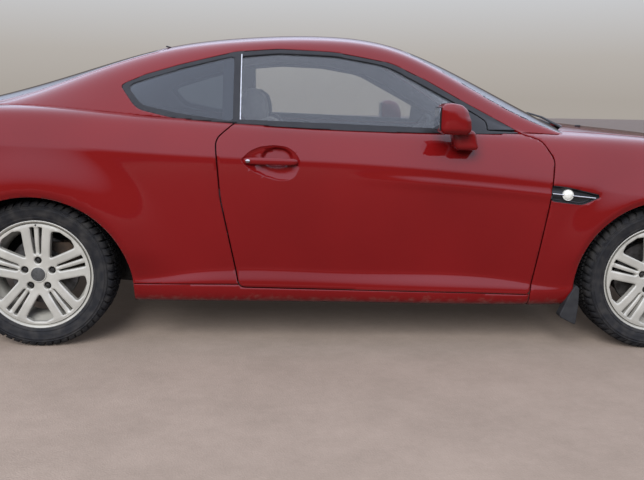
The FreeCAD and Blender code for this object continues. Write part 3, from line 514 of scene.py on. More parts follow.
def makeMesh(name, points, triangles, quads=None, loopNormals=None, marks=None):
    # one mesh in metres from arrays in millimetres; marks are material numbers
    quads = np.zeros((0, 4), int) if quads is None else quads
    mesh = bpy.data.meshes.new(name)
    mesh.vertices.add(len(points))
    mesh.vertices.foreach_set("co", (points * mm).astype(np.float32).ravel())
    loops = np.concatenate([triangles.ravel(), quads.ravel()]).astype(np.int32)
    mesh.loops.add(len(loops))
    mesh.loops.foreach_set("vertex_index", loops)
    counts = np.concatenate([np.full(len(triangles), 3), np.full(len(quads), 4)]).astype(np.int32)
    starts = np.concatenate([[0], np.cumsum(counts)[:-1]]).astype(np.int32)
    mesh.polygons.add(len(counts))
    mesh.polygons.foreach_set("loop_start", starts)
    mesh.polygons.foreach_set("loop_total", counts)
    if marks is not None:
        mesh.polygons.foreach_set("material_index", marks.astype(np.int32))
    mesh.polygons.foreach_set("use_smooth", np.ones(len(counts), bool))
    mesh.update()
    if loopNormals is not None:
        mesh.normals_split_custom_set(loopNormals.tolist())
    return mesh


def addObject(name, mesh, *materials):
    piece = bpy.data.objects.new(name, mesh)
    bpy.context.scene.collection.objects.link(piece)
    for material in materials:
        mesh.materials.append(material)
    return piece


rimLean = 0.35  # how far the shading of a panel's edge leans over


def wallMesh(name, sheet, thickness, rolled=1.6, innerMark=0):
    # a closed wall: the sheet outside, its offset inside and a turned edge all round
    points, normals, faces = sheet.points, sheet.normals, sheet.faces
    count = len(points)
    rim, quads = rimOf(faces, count)
    onRim = np.zeros(count, bool)
    onRim[rim.ravel()] = True
    outer = points - normals * (rolled * onRim)[:, None]
    inner = points - normals * thickness
    start, end = rim.T
    rimNormal = unit(np.cross(outer[start] - outer[end], inner[start] - outer[start]))
    lean = np.zeros((count, 3))
    np.add.at(lean, start, rimNormal)
    np.add.at(lean, end, rimNormal)
    leaning = unit(normals + lean * rimLean)
    loopNormals = np.concatenate([leaning[faces].reshape(-1, 3), -normals[faces[:, ::-1]].reshape(-1, 3),
                                  np.repeat(rimNormal, 4, axis=0)])
    triangles = np.concatenate([faces, faces[:, ::-1] + count])
    marks = np.concatenate([np.zeros(len(faces)), np.full(len(faces), innerMark), np.zeros(len(quads))])
    return makeMesh(name, np.concatenate([outer, inner]), triangles, quads, loopNormals, marks)


def nodeMaterial(name, colour, roughness=0.5, metallic=0.0):
    material = bpy.data.materials.new(name)
    material.use_nodes = True
    shader = material.node_tree.nodes["Principled BSDF"]
    shader.inputs["Base Color"].default_value = (*colour, 1)
    shader.inputs["Roughness"].default_value = roughness
    shader.inputs["Metallic"].default_value = metallic
    return material


def addNode(material, kind, **values):
    node = material.node_tree.nodes.new(kind)
    for key, value in values.items():
        if key in node.inputs:
            node.inputs[key].default_value = value
        else:
            setattr(node, key, value)
    return node


def wire(material, source, output, target, entry):
    material.node_tree.links.new(source.outputs[output], target.inputs[entry])


def mottled(material, darkColour, lightColour, scale, detail=4.0, low=0.3, high=0.7):
    # varies the base colour with noise on Object coordinates
    place = addNode(material, "ShaderNodeTexCoord")
    noise = addNode(material, "ShaderNodeTexNoise", Scale=scale, Detail=detail)
    ramp = addNode(material, "ShaderNodeValToRGB")
    ramp.color_ramp.elements[0].position, ramp.color_ramp.elements[1].position = low, high
    ramp.color_ramp.elements[0].color = (*darkColour, 1)
    ramp.color_ramp.elements[1].color = (*lightColour, 1)
    wire(material, place, "Object", noise, "Vector")
    wire(material, noise, "Fac", ramp, "Fac")
    wire(material, ramp, "Color", material.node_tree.nodes["Principled BSDF"], "Base Color")
    return place, noise, ramp


def mapRange(material, fromLow, fromHigh, toLow, toHigh):
    values = {"From Min": fromLow, "From Max": fromHigh, "To Min": toLow, "To Max": toHigh}
    return addNode(material, "ShaderNodeMapRange", **values)


def grained(material, scale, strength, distance=0.0006, detail=3.0):
    # fine bump from noise on Object coordinates
    place = addNode(material, "ShaderNodeTexCoord")
    noise = addNode(material, "ShaderNodeTexNoise", Scale=scale, Detail=detail)
    bump = addNode(material, "ShaderNodeBump", Strength=strength, Distance=distance)
    wire(material, place, "Object", noise, "Vector")
    wire(material, noise, "Fac", bump, "Height")
    wire(material, bump, "Normal", material.node_tree.nodes["Principled BSDF"], "Normal")


sharpEdge = math.radians(38)  # steeper edges of a form are shaded sharp


class Form:
    # closed shapes gathered for one mesh, in millimetres
    def __init__(self):
        self.points, self.faces, self.marks, self.count = [], [], [], 0

    def add(self, shape, mark=0, turn=None, centre=None):
        points, faces = np.asarray(shape[0], float), shape[1]
        if turn is not None:
            points = points @ np.array(turn.to_matrix()).T
        if centre is not None:
            points = points + np.array(centre, float)
        volume = 0.0
        for f in faces:
            a = points[f[0]]
            for i in range(1, len(f) - 1):
                volume += a @ np.cross(points[f[i]], points[f[i + 1]])
        if volume < 0:
            faces = [tuple(f)[::-1] for f in faces]
        self.points.append(points)
        self.faces += [tuple(int(i) + self.count for i in f) for f in faces]
        self.marks += [mark] * len(faces)
        self.count += len(points)
        return self

    def box(self, centre, half, radius, *shape, mark=0, pitch=0, **counts):
        # adds a rounded box, pitched about the Y axis
        return self.add(roundBox(half, radius, *shape, **counts), mark, pitched(pitch) if pitch else None, centre)

    def mirrored(self):
        other = Form()
        other.points = [p * (1, -1, 1) for p in self.points]
        other.faces = [f[::-1] for f in self.faces]
        other.marks, other.count = list(self.marks), self.count
        return other

    def at(self, place):
        other = Form()
        other.points, other.faces, other.marks = [p + place for p in self.points], self.faces, self.marks
        return other

    def turned(self, degrees, place):
        # turns the form about the Z axis, then moves it to its place
        spin = np.array(Quaternion((0, 0, 1), math.radians(degrees)).to_matrix())
        self.points = [p @ spin.T + place for p in self.points]
        return self

    def mesh(self, name):
        mesh = bpy.data.meshes.new(name)
        mesh.from_pydata((np.concatenate(self.points) * mm).tolist(), [], self.faces)
        mesh.polygons.foreach_set("material_index", np.array(self.marks, np.int32))
        mesh.polygons.foreach_set("use_smooth", np.ones(len(self.faces), bool))
        mesh.set_sharp_from_angle(angle=sharpEdge)
        mesh.update()
        return mesh


def pitched(degrees):
    # turn about the Y axis
    return Quaternion((0, 1, 0), math.radians(degrees))


def lathe(profile, centre=(0, 0, 0), segments=72, axis=1, closed=True):
    # turns a profile of radius and place along the axis
    angles = np.linspace(0, 2 * math.pi, segments, endpoint=False)
    c, s = np.cos(angles), np.sin(angles)
    points, rings = [], []
    for radius, along in profile:
        if radius < 1e-6:
            ring = np.zeros((1, 3))
        else:
            ring = np.zeros((segments, 3))
            ring[:, (axis + 2) % 3], ring[:, (axis + 1) % 3] = radius * c, radius * s
        ring[:, axis] = along
        rings.append(np.arange(len(ring)) + sum(len(p) for p in points))
        points.append(ring)
    faces = []
    pairs = list(zip(rings, rings[1:])) + ([(rings[-1], rings[0])] if closed else [])
    for a, b in pairs:
        if len(a) == 1 and len(b) == 1:
            continue
        for i in range(segments):
            j = (i + 1) % segments
            if len(a) == 1:
                faces.append((a[0], b[j], b[i]))
            elif len(b) == 1:
                faces.append((a[i], a[j], b[0]))
            else:
                faces.append((a[i], a[j], b[j], b[i]))
    return np.concatenate(points) + np.array(centre, float), faces


def ringFaces(rings, count):
    # caps and sides of a closed shape made of rings of points
    faces = [tuple(range(count)), tuple(range((rings - 1) * count, rings * count))[::-1]]
    for k in range(rings - 1):
        for i in range(count):
            j = (i + 1) % count
            faces.append((k * count + i, (k + 1) * count + i, (k + 1) * count + j, k * count + j))
    return faces


def tube(path, radius, sides=10):
    # a round bar along a line of points; radius may be one number or one for each point
    path = np.array(path, float)
    radii = np.full(len(path), radius, float) if np.isscalar(radius) else np.array(radius, float)
    along = unit(np.gradient(path, axis=0))
    side = np.cross(along[0], (0.13, 0.21, 1.0) if abs(along[0][2]) < 0.9 else (1.0, 0.1, 0.2))
    points = []
    for p, d, r in zip(path, along, radii):
        side = unit(side - d * (side @ d))
        up = np.cross(d, side)
        for a in np.linspace(0, 2 * math.pi, sides, endpoint=False):
            points.append(p + r * (math.cos(a) * side + math.sin(a) * up))
    return np.array(points), ringFaces(len(path), sides)


def smoothPath(points, count=24):
    points = np.array(points, float)
    t = np.linspace(0, 1, len(points))
    fine = np.linspace(0, 1, count)
    return np.stack([cubicThrough(t, points[:, k])(fine) for k in range(3)], 1)


def roundBox(half, radius, puff=(0, 0, 0), steps=4, spans=3):
    # box with rounded edges about the origin; puff swells each pair of faces
    half = np.array(half, float)
    radius = min(radius, *half)
    lines = []
    for h in half:
        inner = h - radius
        bend = [inner + radius * math.tan(k / steps * math.pi / 4) for k in range(1, steps + 1)]
        flat = list(np.linspace(-inner, inner, spans + 1)) if inner > 1e-6 else [0.0]
        lines.append(np.array([-v for v in bend[::-1]] + flat + bend))
    table, points, faces = {}, [], []

    def corner(p):
        key = tuple(np.round(p, 4))
        if key not in table:
            core = np.clip(p, -(half - radius), half - radius)
            out = unit(p - core)
            q = core + out * radius
            share = 1 - np.clip(np.abs(p) / half, 0, 1) ** 2
            for axis in range(3):
                if puff[axis]:
                    q[axis] += puff[axis] * out[axis] * share[(axis + 1) % 3] * share[(axis + 2) % 3]
            table[key] = len(points)
            points.append(q)
        return table[key]

    for axis in range(3):
        u, v = (axis + 1) % 3, (axis + 2) % 3
        for sign in (1, -1):
            ids = np.zeros((len(lines[u]), len(lines[v])), int)
            for i, a in enumerate(lines[u]):
                for j, b in enumerate(lines[v]):
                    p = np.zeros(3)
                    p[axis], p[u], p[v] = sign * half[axis], a, b
                    ids[i, j] = corner(p)
            for i in range(ids.shape[0] - 1):
                for j in range(ids.shape[1] - 1):
                    f = (ids[i, j], ids[i + 1, j], ids[i + 1, j + 1], ids[i, j + 1])
                    faces.append(f if sign > 0 else f[::-1])
    return np.array(points), faces


def prism(corners, plane, low, high, bevel=1.5):
    # extruded outline with small bevels; the plane gives the two axes of the outline
    flat = roundedOutline(corners, 5.0)
    keep = [i for i in range(len(flat)) if np.linalg.norm(flat[i] - flat[i - 1]) > 0.05]
    flat = flat[keep]
    before, after = np.roll(flat, 1, axis=0), np.roll(flat, -1, axis=0)
    along = unit(flat - before) + unit(after - flat)
    normal = unit(np.stack([-along[:, 1], along[:, 0]], 1), 1e-6)
    area = (flat[:, 0] * after[:, 1] - flat[:, 1] * after[:, 0]).sum()
    inset = flat + normal * bevel * (1 if area > 0 else -1)
    a, b = plane
    axis = 3 - a - b
    points = []
    for loop, level in ((inset, low), (flat, low + bevel), (flat, high - bevel), (inset, high)):
        ring = np.zeros((len(flat), 3))
        ring[:, a], ring[:, b], ring[:, axis] = loop[:, 0], loop[:, 1], level
        points.append(ring)
    n = len(flat)
    faces = [tuple(range(n))[::-1], tuple(range(3 * n, 4 * n))]
    for k in range(3):
        for i in range(n):
            j = (i + 1) % n
            faces.append((k * n + i, k * n + j, (k + 1) * n + j, (k + 1) * n + i))
    return np.concatenate(points), faces


def slabMesh(name, sheet, push, sharp):
    # closes a sheet with a copy of it pushed along one direction
    faces, count = sheet.faces, len(sheet.points)
    points = np.concatenate([sheet.points, sheet.points + np.array(push, float)])
    mesh = makeMesh(name, points, np.concatenate([faces, faces[:, ::-1] + count]), rimOf(faces, count)[1])
    mesh.set_sharp_from_angle(angle=math.radians(sharp))
    return mesh


def placed(piece, body, node):
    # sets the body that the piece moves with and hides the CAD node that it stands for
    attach(piece, body)
    if node:
        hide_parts(node)
    return piece


def addForm(name, form, body, node, slotName, *materials):
    return placed(addObject(name, form.mesh(name), *materials), body, node)


def addFormPair(name, form, body, node, slotName, *materials):
    # the form is of the left side
    for side, shape in (("left", form), ("right", form.mirrored())):
        addForm(f"{name}_{side}", shape, body.replace("SIDE", side), node and node.replace("SIDE", side), slotName,
                *materials)


def repeatTree(name, ring):
    # node tree that repeats the object's own mesh round the Y axis, or along a line
    tree = bpy.data.node_groups.new(name, "GeometryNodeTree")
    make, link = tree.nodes.new, tree.links.new
    tree.interface.new_socket("Geometry", in_out="INPUT", socket_type="NodeSocketGeometry")
    own = ("Phase", "NodeSocketFloat") if ring else ("Step", "NodeSocketVector")
    shared = ("Centre", "NodeSocketVector"), ("Material", "NodeSocketMaterial")
    for title, kind in (("Count", "NodeSocketInt"), own, *shared):
        tree.interface.new_socket(title, in_out="INPUT", socket_type=kind)
    tree.interface.new_socket("Geometry", in_out="OUTPUT", socket_type="NodeSocketGeometry")
    source, result, index = make("NodeGroupInput"), make("NodeGroupOutput"), make("GeometryNodeInputIndex")
    points, instance, shift, real, dress = (make("GeometryNode" + kind) for kind in (
        "Points", "InstanceOnPoints", "Transform", "RealizeInstances", "SetMaterial"))
    link(source.outputs["Count"], points.inputs["Count"])
    if ring:
        share, angle = make("ShaderNodeMath"), make("ShaderNodeMath")
        share.operation, angle.operation = "DIVIDE", "MULTIPLY_ADD"
        share.inputs[0].default_value = 2 * math.pi
        link(source.outputs["Count"], share.inputs[1])
        link(index.outputs[0], angle.inputs[0])
        link(share.outputs[0], angle.inputs[1])
        link(source.outputs["Phase"], angle.inputs[2])
        join, turn = make("ShaderNodeCombineXYZ"), make("FunctionNodeEulerToRotation")
        link(angle.outputs[0], join.inputs["Y"])
        link(join.outputs[0], turn.inputs[0])
        link(turn.outputs[0], instance.inputs["Rotation"])
    else:
        far = make("ShaderNodeVectorMath")
        far.operation = "SCALE"
        link(source.outputs["Step"], far.inputs[0])
        link(index.outputs[0], far.inputs["Scale"])
        link(far.outputs[0], points.inputs["Position"])
    link(points.outputs[0], instance.inputs["Points"])
    link(source.outputs["Geometry"], instance.inputs["Instance"])
    link(instance.outputs[0], shift.inputs["Geometry"])
    link(source.outputs["Centre"], shift.inputs["Translation"])
    link(shift.outputs[0], real.inputs[0])
    link(real.outputs[0], dress.inputs["Geometry"])
    link(source.outputs["Material"], dress.inputs["Material"])
    link(dress.outputs[0], result.inputs[0])
    return tree


def repeated(name, form, tree, body, node, slotName, material, **values):
    # evaluates a repeat tree on a form and keeps the result as one plain mesh
    seed = addObject(name + "_seed", form.mesh(name + "_seed"), material)
    nodes = seed.modifiers.new("repeat", "NODES")
    nodes.node_group = tree
    sockets = {item.name: item.identifier for item in tree.interface.items_tree if item.in_out == "INPUT"}
    nodes[sockets["Material"]] = material
    for key, value in values.items():
        nodes[sockets[key]] = value
    evaluated = seed.evaluated_get(bpy.context.evaluated_depsgraph_get())
    mesh = bpy.data.meshes.new_from_object(evaluated)
    mesh.name = name
    seed.modifiers.remove(nodes)
    bpy.data.objects.remove(seed)
    piece = addObject(name, mesh, *([] if mesh.materials else [material]))
    return placed(piece, body, node)


ringTree, rowTree = repeatTree("ringRepeat", True), repeatTree("rowRepeat", False)
flipY = lambda field: (lambda points: field(points * (1, -1, 1)))

print("materials")
paintLook = {"base": (0.132, 0.0036, 0.0039), "deep": (0.116, 0.0030, 0.0032), "roughness": 0.42, "specular": 0.06,
             "coat": 1.0, "coatRoughness": 0.02, "dirt": (0.15, 0.09, 0.07), "dirtRoughness": 0.75,
             "dirtHeight": (0.17, 0.30), "dirtSpread": (0.30, 0.62), "dirtMost": 0.75}


def makePaint():
    # crimson with a clear coat, and road dirt that thins out upwards from the sill
    material = nodeMaterial("crimsonPaint", paintLook["base"], paintLook["roughness"])
    shader = material.node_tree.nodes["Principled BSDF"]
    for key, value in (("Coat Weight", "coat"), ("Coat Roughness", "coatRoughness"),
                       ("Specular IOR Level", "specular")):
        shader.inputs[key].default_value = paintLook[value]
    place, noise, ramp = mottled(material, paintLook["deep"], paintLook["base"], 2.2, 2.0, 0.35, 0.65)
    split = addNode(material, "ShaderNodeSeparateXYZ")
    wire(material, place, "Object", split, "Vector")
    speckle = addNode(material, "ShaderNodeTexNoise", Scale=38.0, Detail=6.0, Roughness=0.7)
    wire(material, place, "Object", speckle, "Vector")
    height = mapRange(material, *paintLook["dirtHeight"], 1.0, 0.0)
    wire(material, split, "Z", height, "Value")
    grime = addNode(material, "ShaderNodeMath", operation="MULTIPLY")
    wire(material, height, "Result", grime, 0)
    wire(material, speckle, "Fac", grime, 1)
    sharper = mapRange(material, *paintLook["dirtSpread"], 0.0, paintLook["dirtMost"])
    wire(material, grime, "Value", sharper, "Value")
    mix = addNode(material, "ShaderNodeMix", data_type="RGBA")
    mix.inputs[7].default_value = (*paintLook["dirt"], 1)
    wire(material, sharper, "Result", mix, 0)
    wire(material, ramp, "Color", mix, 6)
    wire(material, mix, 2, shader, "Base Color")
    rough = mapRange(material, 0.0, 1.0, paintLook["roughness"], paintLook["dirtRoughness"])
    wire(material, sharper, "Result", rough, "Value")
    wire(material, rough, "Result", shader, "Roughness")
    return material


def makeGlass(name, tint, haze):
    # thin pane: tinted see-through with a mirror share that grows at a slant
    material = bpy.data.materials.new(name)
    material.use_nodes = True
    nodes, links = material.node_tree.nodes, material.node_tree.links
    nodes.remove(nodes["Principled BSDF"])
    place, noise, ramp, clear, mirror, dull, first, second = (nodes.new("ShaderNode" + kind) for kind in (
        "TexCoord", "TexNoise", "ValToRGB", "BsdfTransparent", "BsdfGlossy", "BsdfDiffuse", "MixShader",
        "MixShader"))
    noise.inputs["Scale"].default_value = 1.7
    ramp.color_ramp.elements[0].color = (*[v * 0.95 for v in tint], 1)
    ramp.color_ramp.elements[1].color = (*tint, 1)
    mirror.inputs["Roughness"].default_value = 0.015
    mirror.inputs["Color"].default_value = (1, 1, 1, 1)
    dull.inputs["Color"].default_value = (0.42, 0.45, 0.52, 1)
    slant = addNode(material, "ShaderNodeFresnel", IOR=1.5)
    second.inputs[0].default_value = haze
    for a, b in ((place.outputs["Object"], noise.inputs["Vector"]), (noise.outputs["Fac"], ramp.inputs["Fac"]),
                 (ramp.outputs["Color"], clear.inputs["Color"]), (slant.outputs[0], first.inputs[0]),
                 (clear.outputs[0], second.inputs[1]), (dull.outputs[0], second.inputs[2]),
                 (second.outputs[0], first.inputs[1]), (mirror.outputs[0], first.inputs[2]),
                 (first.outputs[0], nodes["Material Output"].inputs["Surface"])):
        links.new(a, b)
    return material


paint = makePaint()
blackTrim = nodeMaterial("blackTrim", (0.010, 0.010, 0.011), 0.28)
grained(blackTrim, 900, 0.12)
mottled(blackTrim, (0.008, 0.008, 0.009), (0.013, 0.013, 0.014), 20.0)
blackPlastic = nodeMaterial("grainedPlastic", (0.018, 0.018, 0.019), 0.6)
grained(blackPlastic, 700, 0.5)
mottled(blackPlastic, (0.014, 0.014, 0.015), (0.026, 0.026, 0.027), 30.0)
liner = nodeMaterial("archLiner", (0.012, 0.012, 0.012), 0.9)
grained(liner, 240, 0.7, 0.002)
mottled(liner, (0.009, 0.009, 0.009), (0.028, 0.025, 0.022), 12.0, 6.0)
sideGlass = makeGlass("sideGlass", (0.87, 0.875, 0.86), 0.045)
screenGlass = makeGlass("screenGlass", (0.72, 0.78, 0.77), 0.04)
backGlass = makeGlass("backGlass", (0.55, 0.59, 0.62), 0.05)
underside = nodeMaterial("underbody", (0.02, 0.02, 0.02), 0.85)
grained(underside, 160, 0.8, 0.002)
mottled(underside, (0.012, 0.012, 0.012), (0.045, 0.04, 0.036), 9.0)
innerPaint = nodeMaterial("innerPaint", (0.10, 0.008, 0.012), 0.5)
grained(innerPaint, 500, 0.2)

print("body surfaces")
bodyGrid, roofGrid = bodySheet(), roofSheet()
bodyHeights = heightMap(bodyGrid, -2200, 2200)
roofHeights = heightMap(roofGrid, -1780, 1000)
bodyHalf, roofHalf = (
    Sheet(grid.reshape(-1, 3), -gridNormals(grid).reshape(-1, 3), gridFaces(*grid.shape[:2])[:, ::-1])
    for grid in (bodyGrid, roofGrid))


def aboveRoof(points):
    return heightAt(roofHeights, points) - points[:, 2]


def aboveBody(points):
    return heightAt(bodyHeights, points) - points[:, 2]


def sideTable(grid, lows, highs, step=5.0):
    # how far out a half sheet lies, over the side view
    xs, zs = np.arange(lows[0], highs[0] + step, step), np.arange(lows[1], highs[1] + step, step)
    table = np.zeros((len(xs), len(zs)))
    for j, z in enumerate(zs):
        line = []
        for column in grid:
            upTo = np.argmax(column[:, 2] > z) if (column[:, 2] > z).any() else len(column) - 1
            upTo = max(upTo, 1)
            a, b = column[upTo - 1], column[upTo]
            t = np.clip((z - a[2]) / (b[2] - a[2]) if abs(b[2] - a[2]) > 1e-6 else 0, 0, 1)
            line.append(a + (b - a) * t)
        line = np.array(line)
        table[:, j] = np.interp(xs, line[:, 0], line[:, 1])
    return xs, zs, table


bodySide = sideTable(bodyGrid, (-900, 260), (1050, 890))
roofSide = sideTable(roofGrid, (-700, 880), (700, 1200))
gap = 2.6  # half a shut line
sideOnly, skinOnly = slab(1, 560), slab(1, 706)
for sheet in (bodyHalf, roofHalf):
    middle = np.abs(sheet.points[:, 1]) < 0.3
    sheet.points[middle, 1] = 0
    sheet.normals[middle, 1] = 0
    sheet.normals[middle] = unit(sheet.normals[middle])
# the roof sheet a little way under the body, which joins the hatch pane to the tailgate
deepRoof = roofHalf.clipped(grownBy(aboveBody, 5.0), slab(0, -1800, -1400))
bodyHalf = bodyHalf.clipped(aboveRoof)
roofHalf = roofHalf.clipped(aboveBody)
bodyWhole = bodyHalf.joinedWith(bodyHalf.mirrored())
roofWhole = roofHalf.joinedWith(roofHalf.mirrored())

gateArea = anyOf(allOf(within("gate", "plan"), slab(2, 880)),
                 allOf(within("gateBack", "front"), slab(0, -2400, -1900)))
hoodArea = allOf(within("hood", "plan"), slab(2, 600), slab(0, 909))
tailLampArea = allOf(within("tailLamp", "front"), slab(0, -2400, -1985))
headLampArea = allOf(within("headLamp"), slab(1, 440))
frontBumperArea = anyOf(within("frontBumper"), allOf(slab(0, 2000), slab(1, -440, 440), slab(2, 100, 720)))
rearBumperArea = within("rearBumper")


def kept(*fields):
    # inside of each field, less half a shut line
    return [grownBy(f, -gap) for f in fields]


def cutAway(*fields):
    return [outside(grownBy(f, gap)) for f in fields]


def addWhole(name, sheet, thickness, body, node, slotName, *materials, innerMark=0, rolled=1.6):
    mesh = wallMesh(name, sheet, thickness, rolled, innerMark)
    return placed(addObject(name, mesh, *materials), body, node)


def addPair(name, sheet, thickness, body, node, slotName, *materials, **edges):
    # the sheet is of the left side
    for side, half in (("left", sheet), ("right", sheet.mirrored())):
        addWhole(f"{name}_{side}", half, thickness, body.replace("SIDE", side), node and node.replace("SIDE", side),
                 slotName, *materials, **edges)


print("body panels")
nearBowl = allOf(within("handleBowl", "side", 14.0), outside(within("handleBowl", "side", -14.0)), skinOnly)
door = bodyHalf.clipped(*kept(within("door")), skinOnly, slab(0, -700, 900)).refinedNear(nearBowl, 3)
door = door.clipped(outside(within("handleBowl")))
addPair("door_skin", door, 11, "door_SIDE_body", "door_SIDE", "body_paint", paint, innerPaint, innerMark=1)
side = bodyHalf.clipped(slab(0, -2400, 742), sideOnly,
                        *cutAway(within("door"), gateArea, rearBumperArea, tailLampArea),
                        outside(archField("rear")), anyOf(slab(2, 0, 862), slab(0, -2400, 670)))
for name, part in (("quarter_panel", slab(2, 275)), ("sill_cover", slab(2, 0, 271.5))):
    addPair(name, side.clipped(part), 12, "root", "body_side_SIDE", "body_paint", paint, innerPaint, innerMark=1)
hingePost = bodyHalf.clipped(slab(0, 690, 862), slab(2, 225, 872), slab(1, 700)).moved(-62)
addPair("hinge_post", hingePost, 3, "root", None, "body_paint", innerPaint, rolled=0)
wing = bodyHalf.clipped(anyOf(slab(0, 747, 2100), allOf(slab(0, 690, 2100), slab(2, 862))), sideOnly,
                        *cutAway(within("door"), hoodArea, frontBumperArea, headLampArea),
                        outside(archField("front")),
                        outside(within("vent")))
addPair("front_wing", wing, 10, "root", "fender_SIDE", "body_paint", paint, innerPaint, innerMark=1)
hood = bodyWhole.clipped(*kept(hoodArea), *cutAway(headLampArea))
addWhole("hood_skin", hood, 12, "hood_body", "hood", "body_paint", paint, innerPaint, innerMark=1)
upperOpening = allOf(within("upperGrille", "front"), slab(0, 2000))
lowerOpening = allOf(within("lowerGrille", "front"), slab(0, 2000))
fogOpening = allOf(within("fogHole", "front"), slab(0, 1900))
grilles = anyOf(upperOpening, lowerOpening, fogOpening)
nose = bodyWhole.clipped(*kept(frontBumperArea), *cutAway(hoodArea, headLampArea, flipY(headLampArea)),
                         outside(archField("front")), outside(grilles), outside(flipY(grilles)))
addWhole("front_bumper_skin", nose, 10, "root", "front_bumper", "body_paint", paint, innerPaint, innerMark=1)
tail = bodyWhole.clipped(*kept(rearBumperArea), *cutAway(gateArea, tailLampArea, flipY(tailLampArea)),
                         outside(archField("rear")),
                         anyOf(slab(0, -3000, -2040), outside(slab(1, -720, 720)), slab(2, 300)))
addWhole("rear_bumper_skin", tail, 10, "root", "rear_bumper", "body_paint", paint, innerPaint, innerMark=1)
deepRoof = deepRoof.joinedWith(deepRoof.mirrored()).clipped(slab(0, -1800, -1625))
backArea = allOf(within("gateGlass", "plan"), slab(2, 955))
gateRoof = roofWhole.clipped(slab(0, -1625, 0)).joinedWith(deepRoof).clipped(outside(backArea))
cover = bodyWhole.joinedWith(gateRoof).clipped(*kept(gateArea), *cutAway(tailLampArea, flipY(tailLampArea)))
addWhole("tailgate_skin", cover, 12, "tailgate_body", "tailgate", "body_paint", paint, innerPaint, innerMark=1)

print("roof and glass")
screenArea = within("windscreen", "plan")
bandArea = allOf(within("windowBand"), outside(slab(1, -560, 560)))
roof = roofWhole.clipped(outside(bandArea), outside(screenArea), *cutAway(gateArea), slab(0, -1600, 1000))
headliner = nodeMaterial("headliner", (0.34, 0.335, 0.32), 0.95)
mottled(headliner, (0.30, 0.295, 0.28), (0.37, 0.365, 0.35), 50.0, 6.0)
grained(headliner, 1400, 0.4, 0.0006)
addWhole("roof_skin", roof, 12, "root", "roof_and_pillars", "body_paint", paint, headliner, innerMark=1)
band = roofHalf.clipped(within("windowBand", "side", 1.0), sideOnly, outside(within("doorGlass")),
                        outside(within("quarterGlass")), anyOf(outside(slab(0, -456, 800)), slab(2, 905)))
addPair("window_band", band.moved(-2.0), 14, "root", None, "black_plastic", blackTrim)
pillar = roofHalf.clipped(slab(0, -516, -458), sideOnly, slab(2, 900, 1185)).moved(-18)
addPair("pillar_cover", pillar, 10, "root", None, "black_plastic", blackTrim, rolled=0)
sillBack = bodyHalf.clipped(slab(2, 262, 285), slab(0, -862, -430), slab(1, 600)).moved(-13)
addPair("sill_joint", sillBack, 3, "root", None, "black_plastic", liner, rolled=0)


def rearArch():
    # liner round the rear wheel with its inner wall, as a sheet facing the wheel
    x, z, radius = arches["rear"]
    angles = np.radians(np.linspace(-4, 181, 60))
    radii = [(radius - 1, 838), (radius - 1, 700), (radius - 1, 560), (radius - 60, 552), (radius - 130, 552),
             (215, 552)]
    grid = np.array([[(x + r * math.cos(a), y, z + r * math.sin(a)) for r, y in radii] for a in angles])
    normals = gridNormals(grid)
    middle = grid[30, 1] - (x, 700, z)
    sign = -1 if normals[30, 1] @ middle > 0 else 1
    faces = gridFaces(*grid.shape[:2])
    a, b, c = grid.reshape(-1, 3)[faces[60]]
    turned = np.cross(b - a, c - a) @ (normals.reshape(-1, 3)[faces[60][0]] * sign) < 0
    return Sheet(grid.reshape(-1, 3), normals.reshape(-1, 3) * sign, faces[:, ::-1] if turned else faces)


addPair("rear_arch_liner", rearArch(), 3, "root", None, "black_plastic", liner, rolled=0)
pane = roofHalf.clipped(within("doorPane"), sideOnly).moved(-9)
addPair("door_pane", pane, 4, "door_SIDE_body", "door_glass_SIDE", "glass", sideGlass, rolled=0)
quarter = roofHalf.clipped(within("quarterPane"), sideOnly).moved(-6)
addPair("quarter_pane", quarter, 4, "root", "quarter_windows", "glass", backGlass, rolled=0)
screen = roofWhole.clipped(grownBy(screenArea, -1.0)).moved(-1)
addWhole("windscreen_pane", screen, 5, "root", "windscreen", "glass", screenGlass, rolled=0)
back = roofWhole.clipped(grownBy(within("gateGlass", "plan"), -1.0), slab(2, 955)).moved(-1)
addWhole("hatch_pane", back, 5, "tailgate_body", "tailgate_glass", "glass", backGlass, rolled=0)

print("wheels and tyres")
wheelLook = {
    "axleZ": 300.0, "face": 834.0, "depth": 24.0, "sharp": 40, "rings": 36, "spokes": 300, "groups": 5,
    "window": [(0, 78, 9), (57, 178, 12), (26, 195, 0), (-26, 195, 0), (-57, 178, 12)],
    "slot": [(9, 195, 0), (25, 191, 0), (15, 86, 0), (7, 80, 0)],
    "nutRadius": 57.15, "pocket": 14.5, "chamfer": (6.5, 3.4), "span": (26, 207),
    "dish": (9.0, 50, 100), "lip": (2.5, 197, 8),  # depth, from which radius and over how much
    "groove": (5.0, 11, 76, 16, 196, 10),  # depth, half width, start and rise, end and rise
    "turned": [  # profile of radius and place along the axle, segments, closed and material
        ([(221, 835.5), (218.5, 836.5), (215, 834), (212, 828), (209, 822), (206, 812), (203, 795), (186, 772),
          (180, 760), (178, 705), (184, 698), (205, 668), (212, 656), (219, 655), (221, 657), (221, 664),
          (192, 702), (187, 712), (187, 752), (194, 768), (210, 786), (213, 806), (216, 822),
          (221, 828)], 120, True, 0),
        ([(24, 741), (58, 741), (66, 740), (139, 740), (140, 739), (140, 717), (139, 716), (66, 716), (62, 700),
          (24, 700)], 90, True, 1),
        ([(0, 812), (24, 812), (60, 808), (74, 806), (74, 796), (24, 796), (0, 796)], 60, False, 2),
        ([(0, 828), (20, 828), (26, 827), (29.5, 825.5), (30.5, 823), (30.5, 814), (0, 814)], 48, False, 3),
        ([(28.6, 829.2), (30.4, 829.6), (32, 828.4), (32.4, 822), (28.6, 822)], 48, True, 0),
        ([(216.5, 822), (219, 829), (221.6, 833), (221, 822)], 90, True, 0),
    ],
}


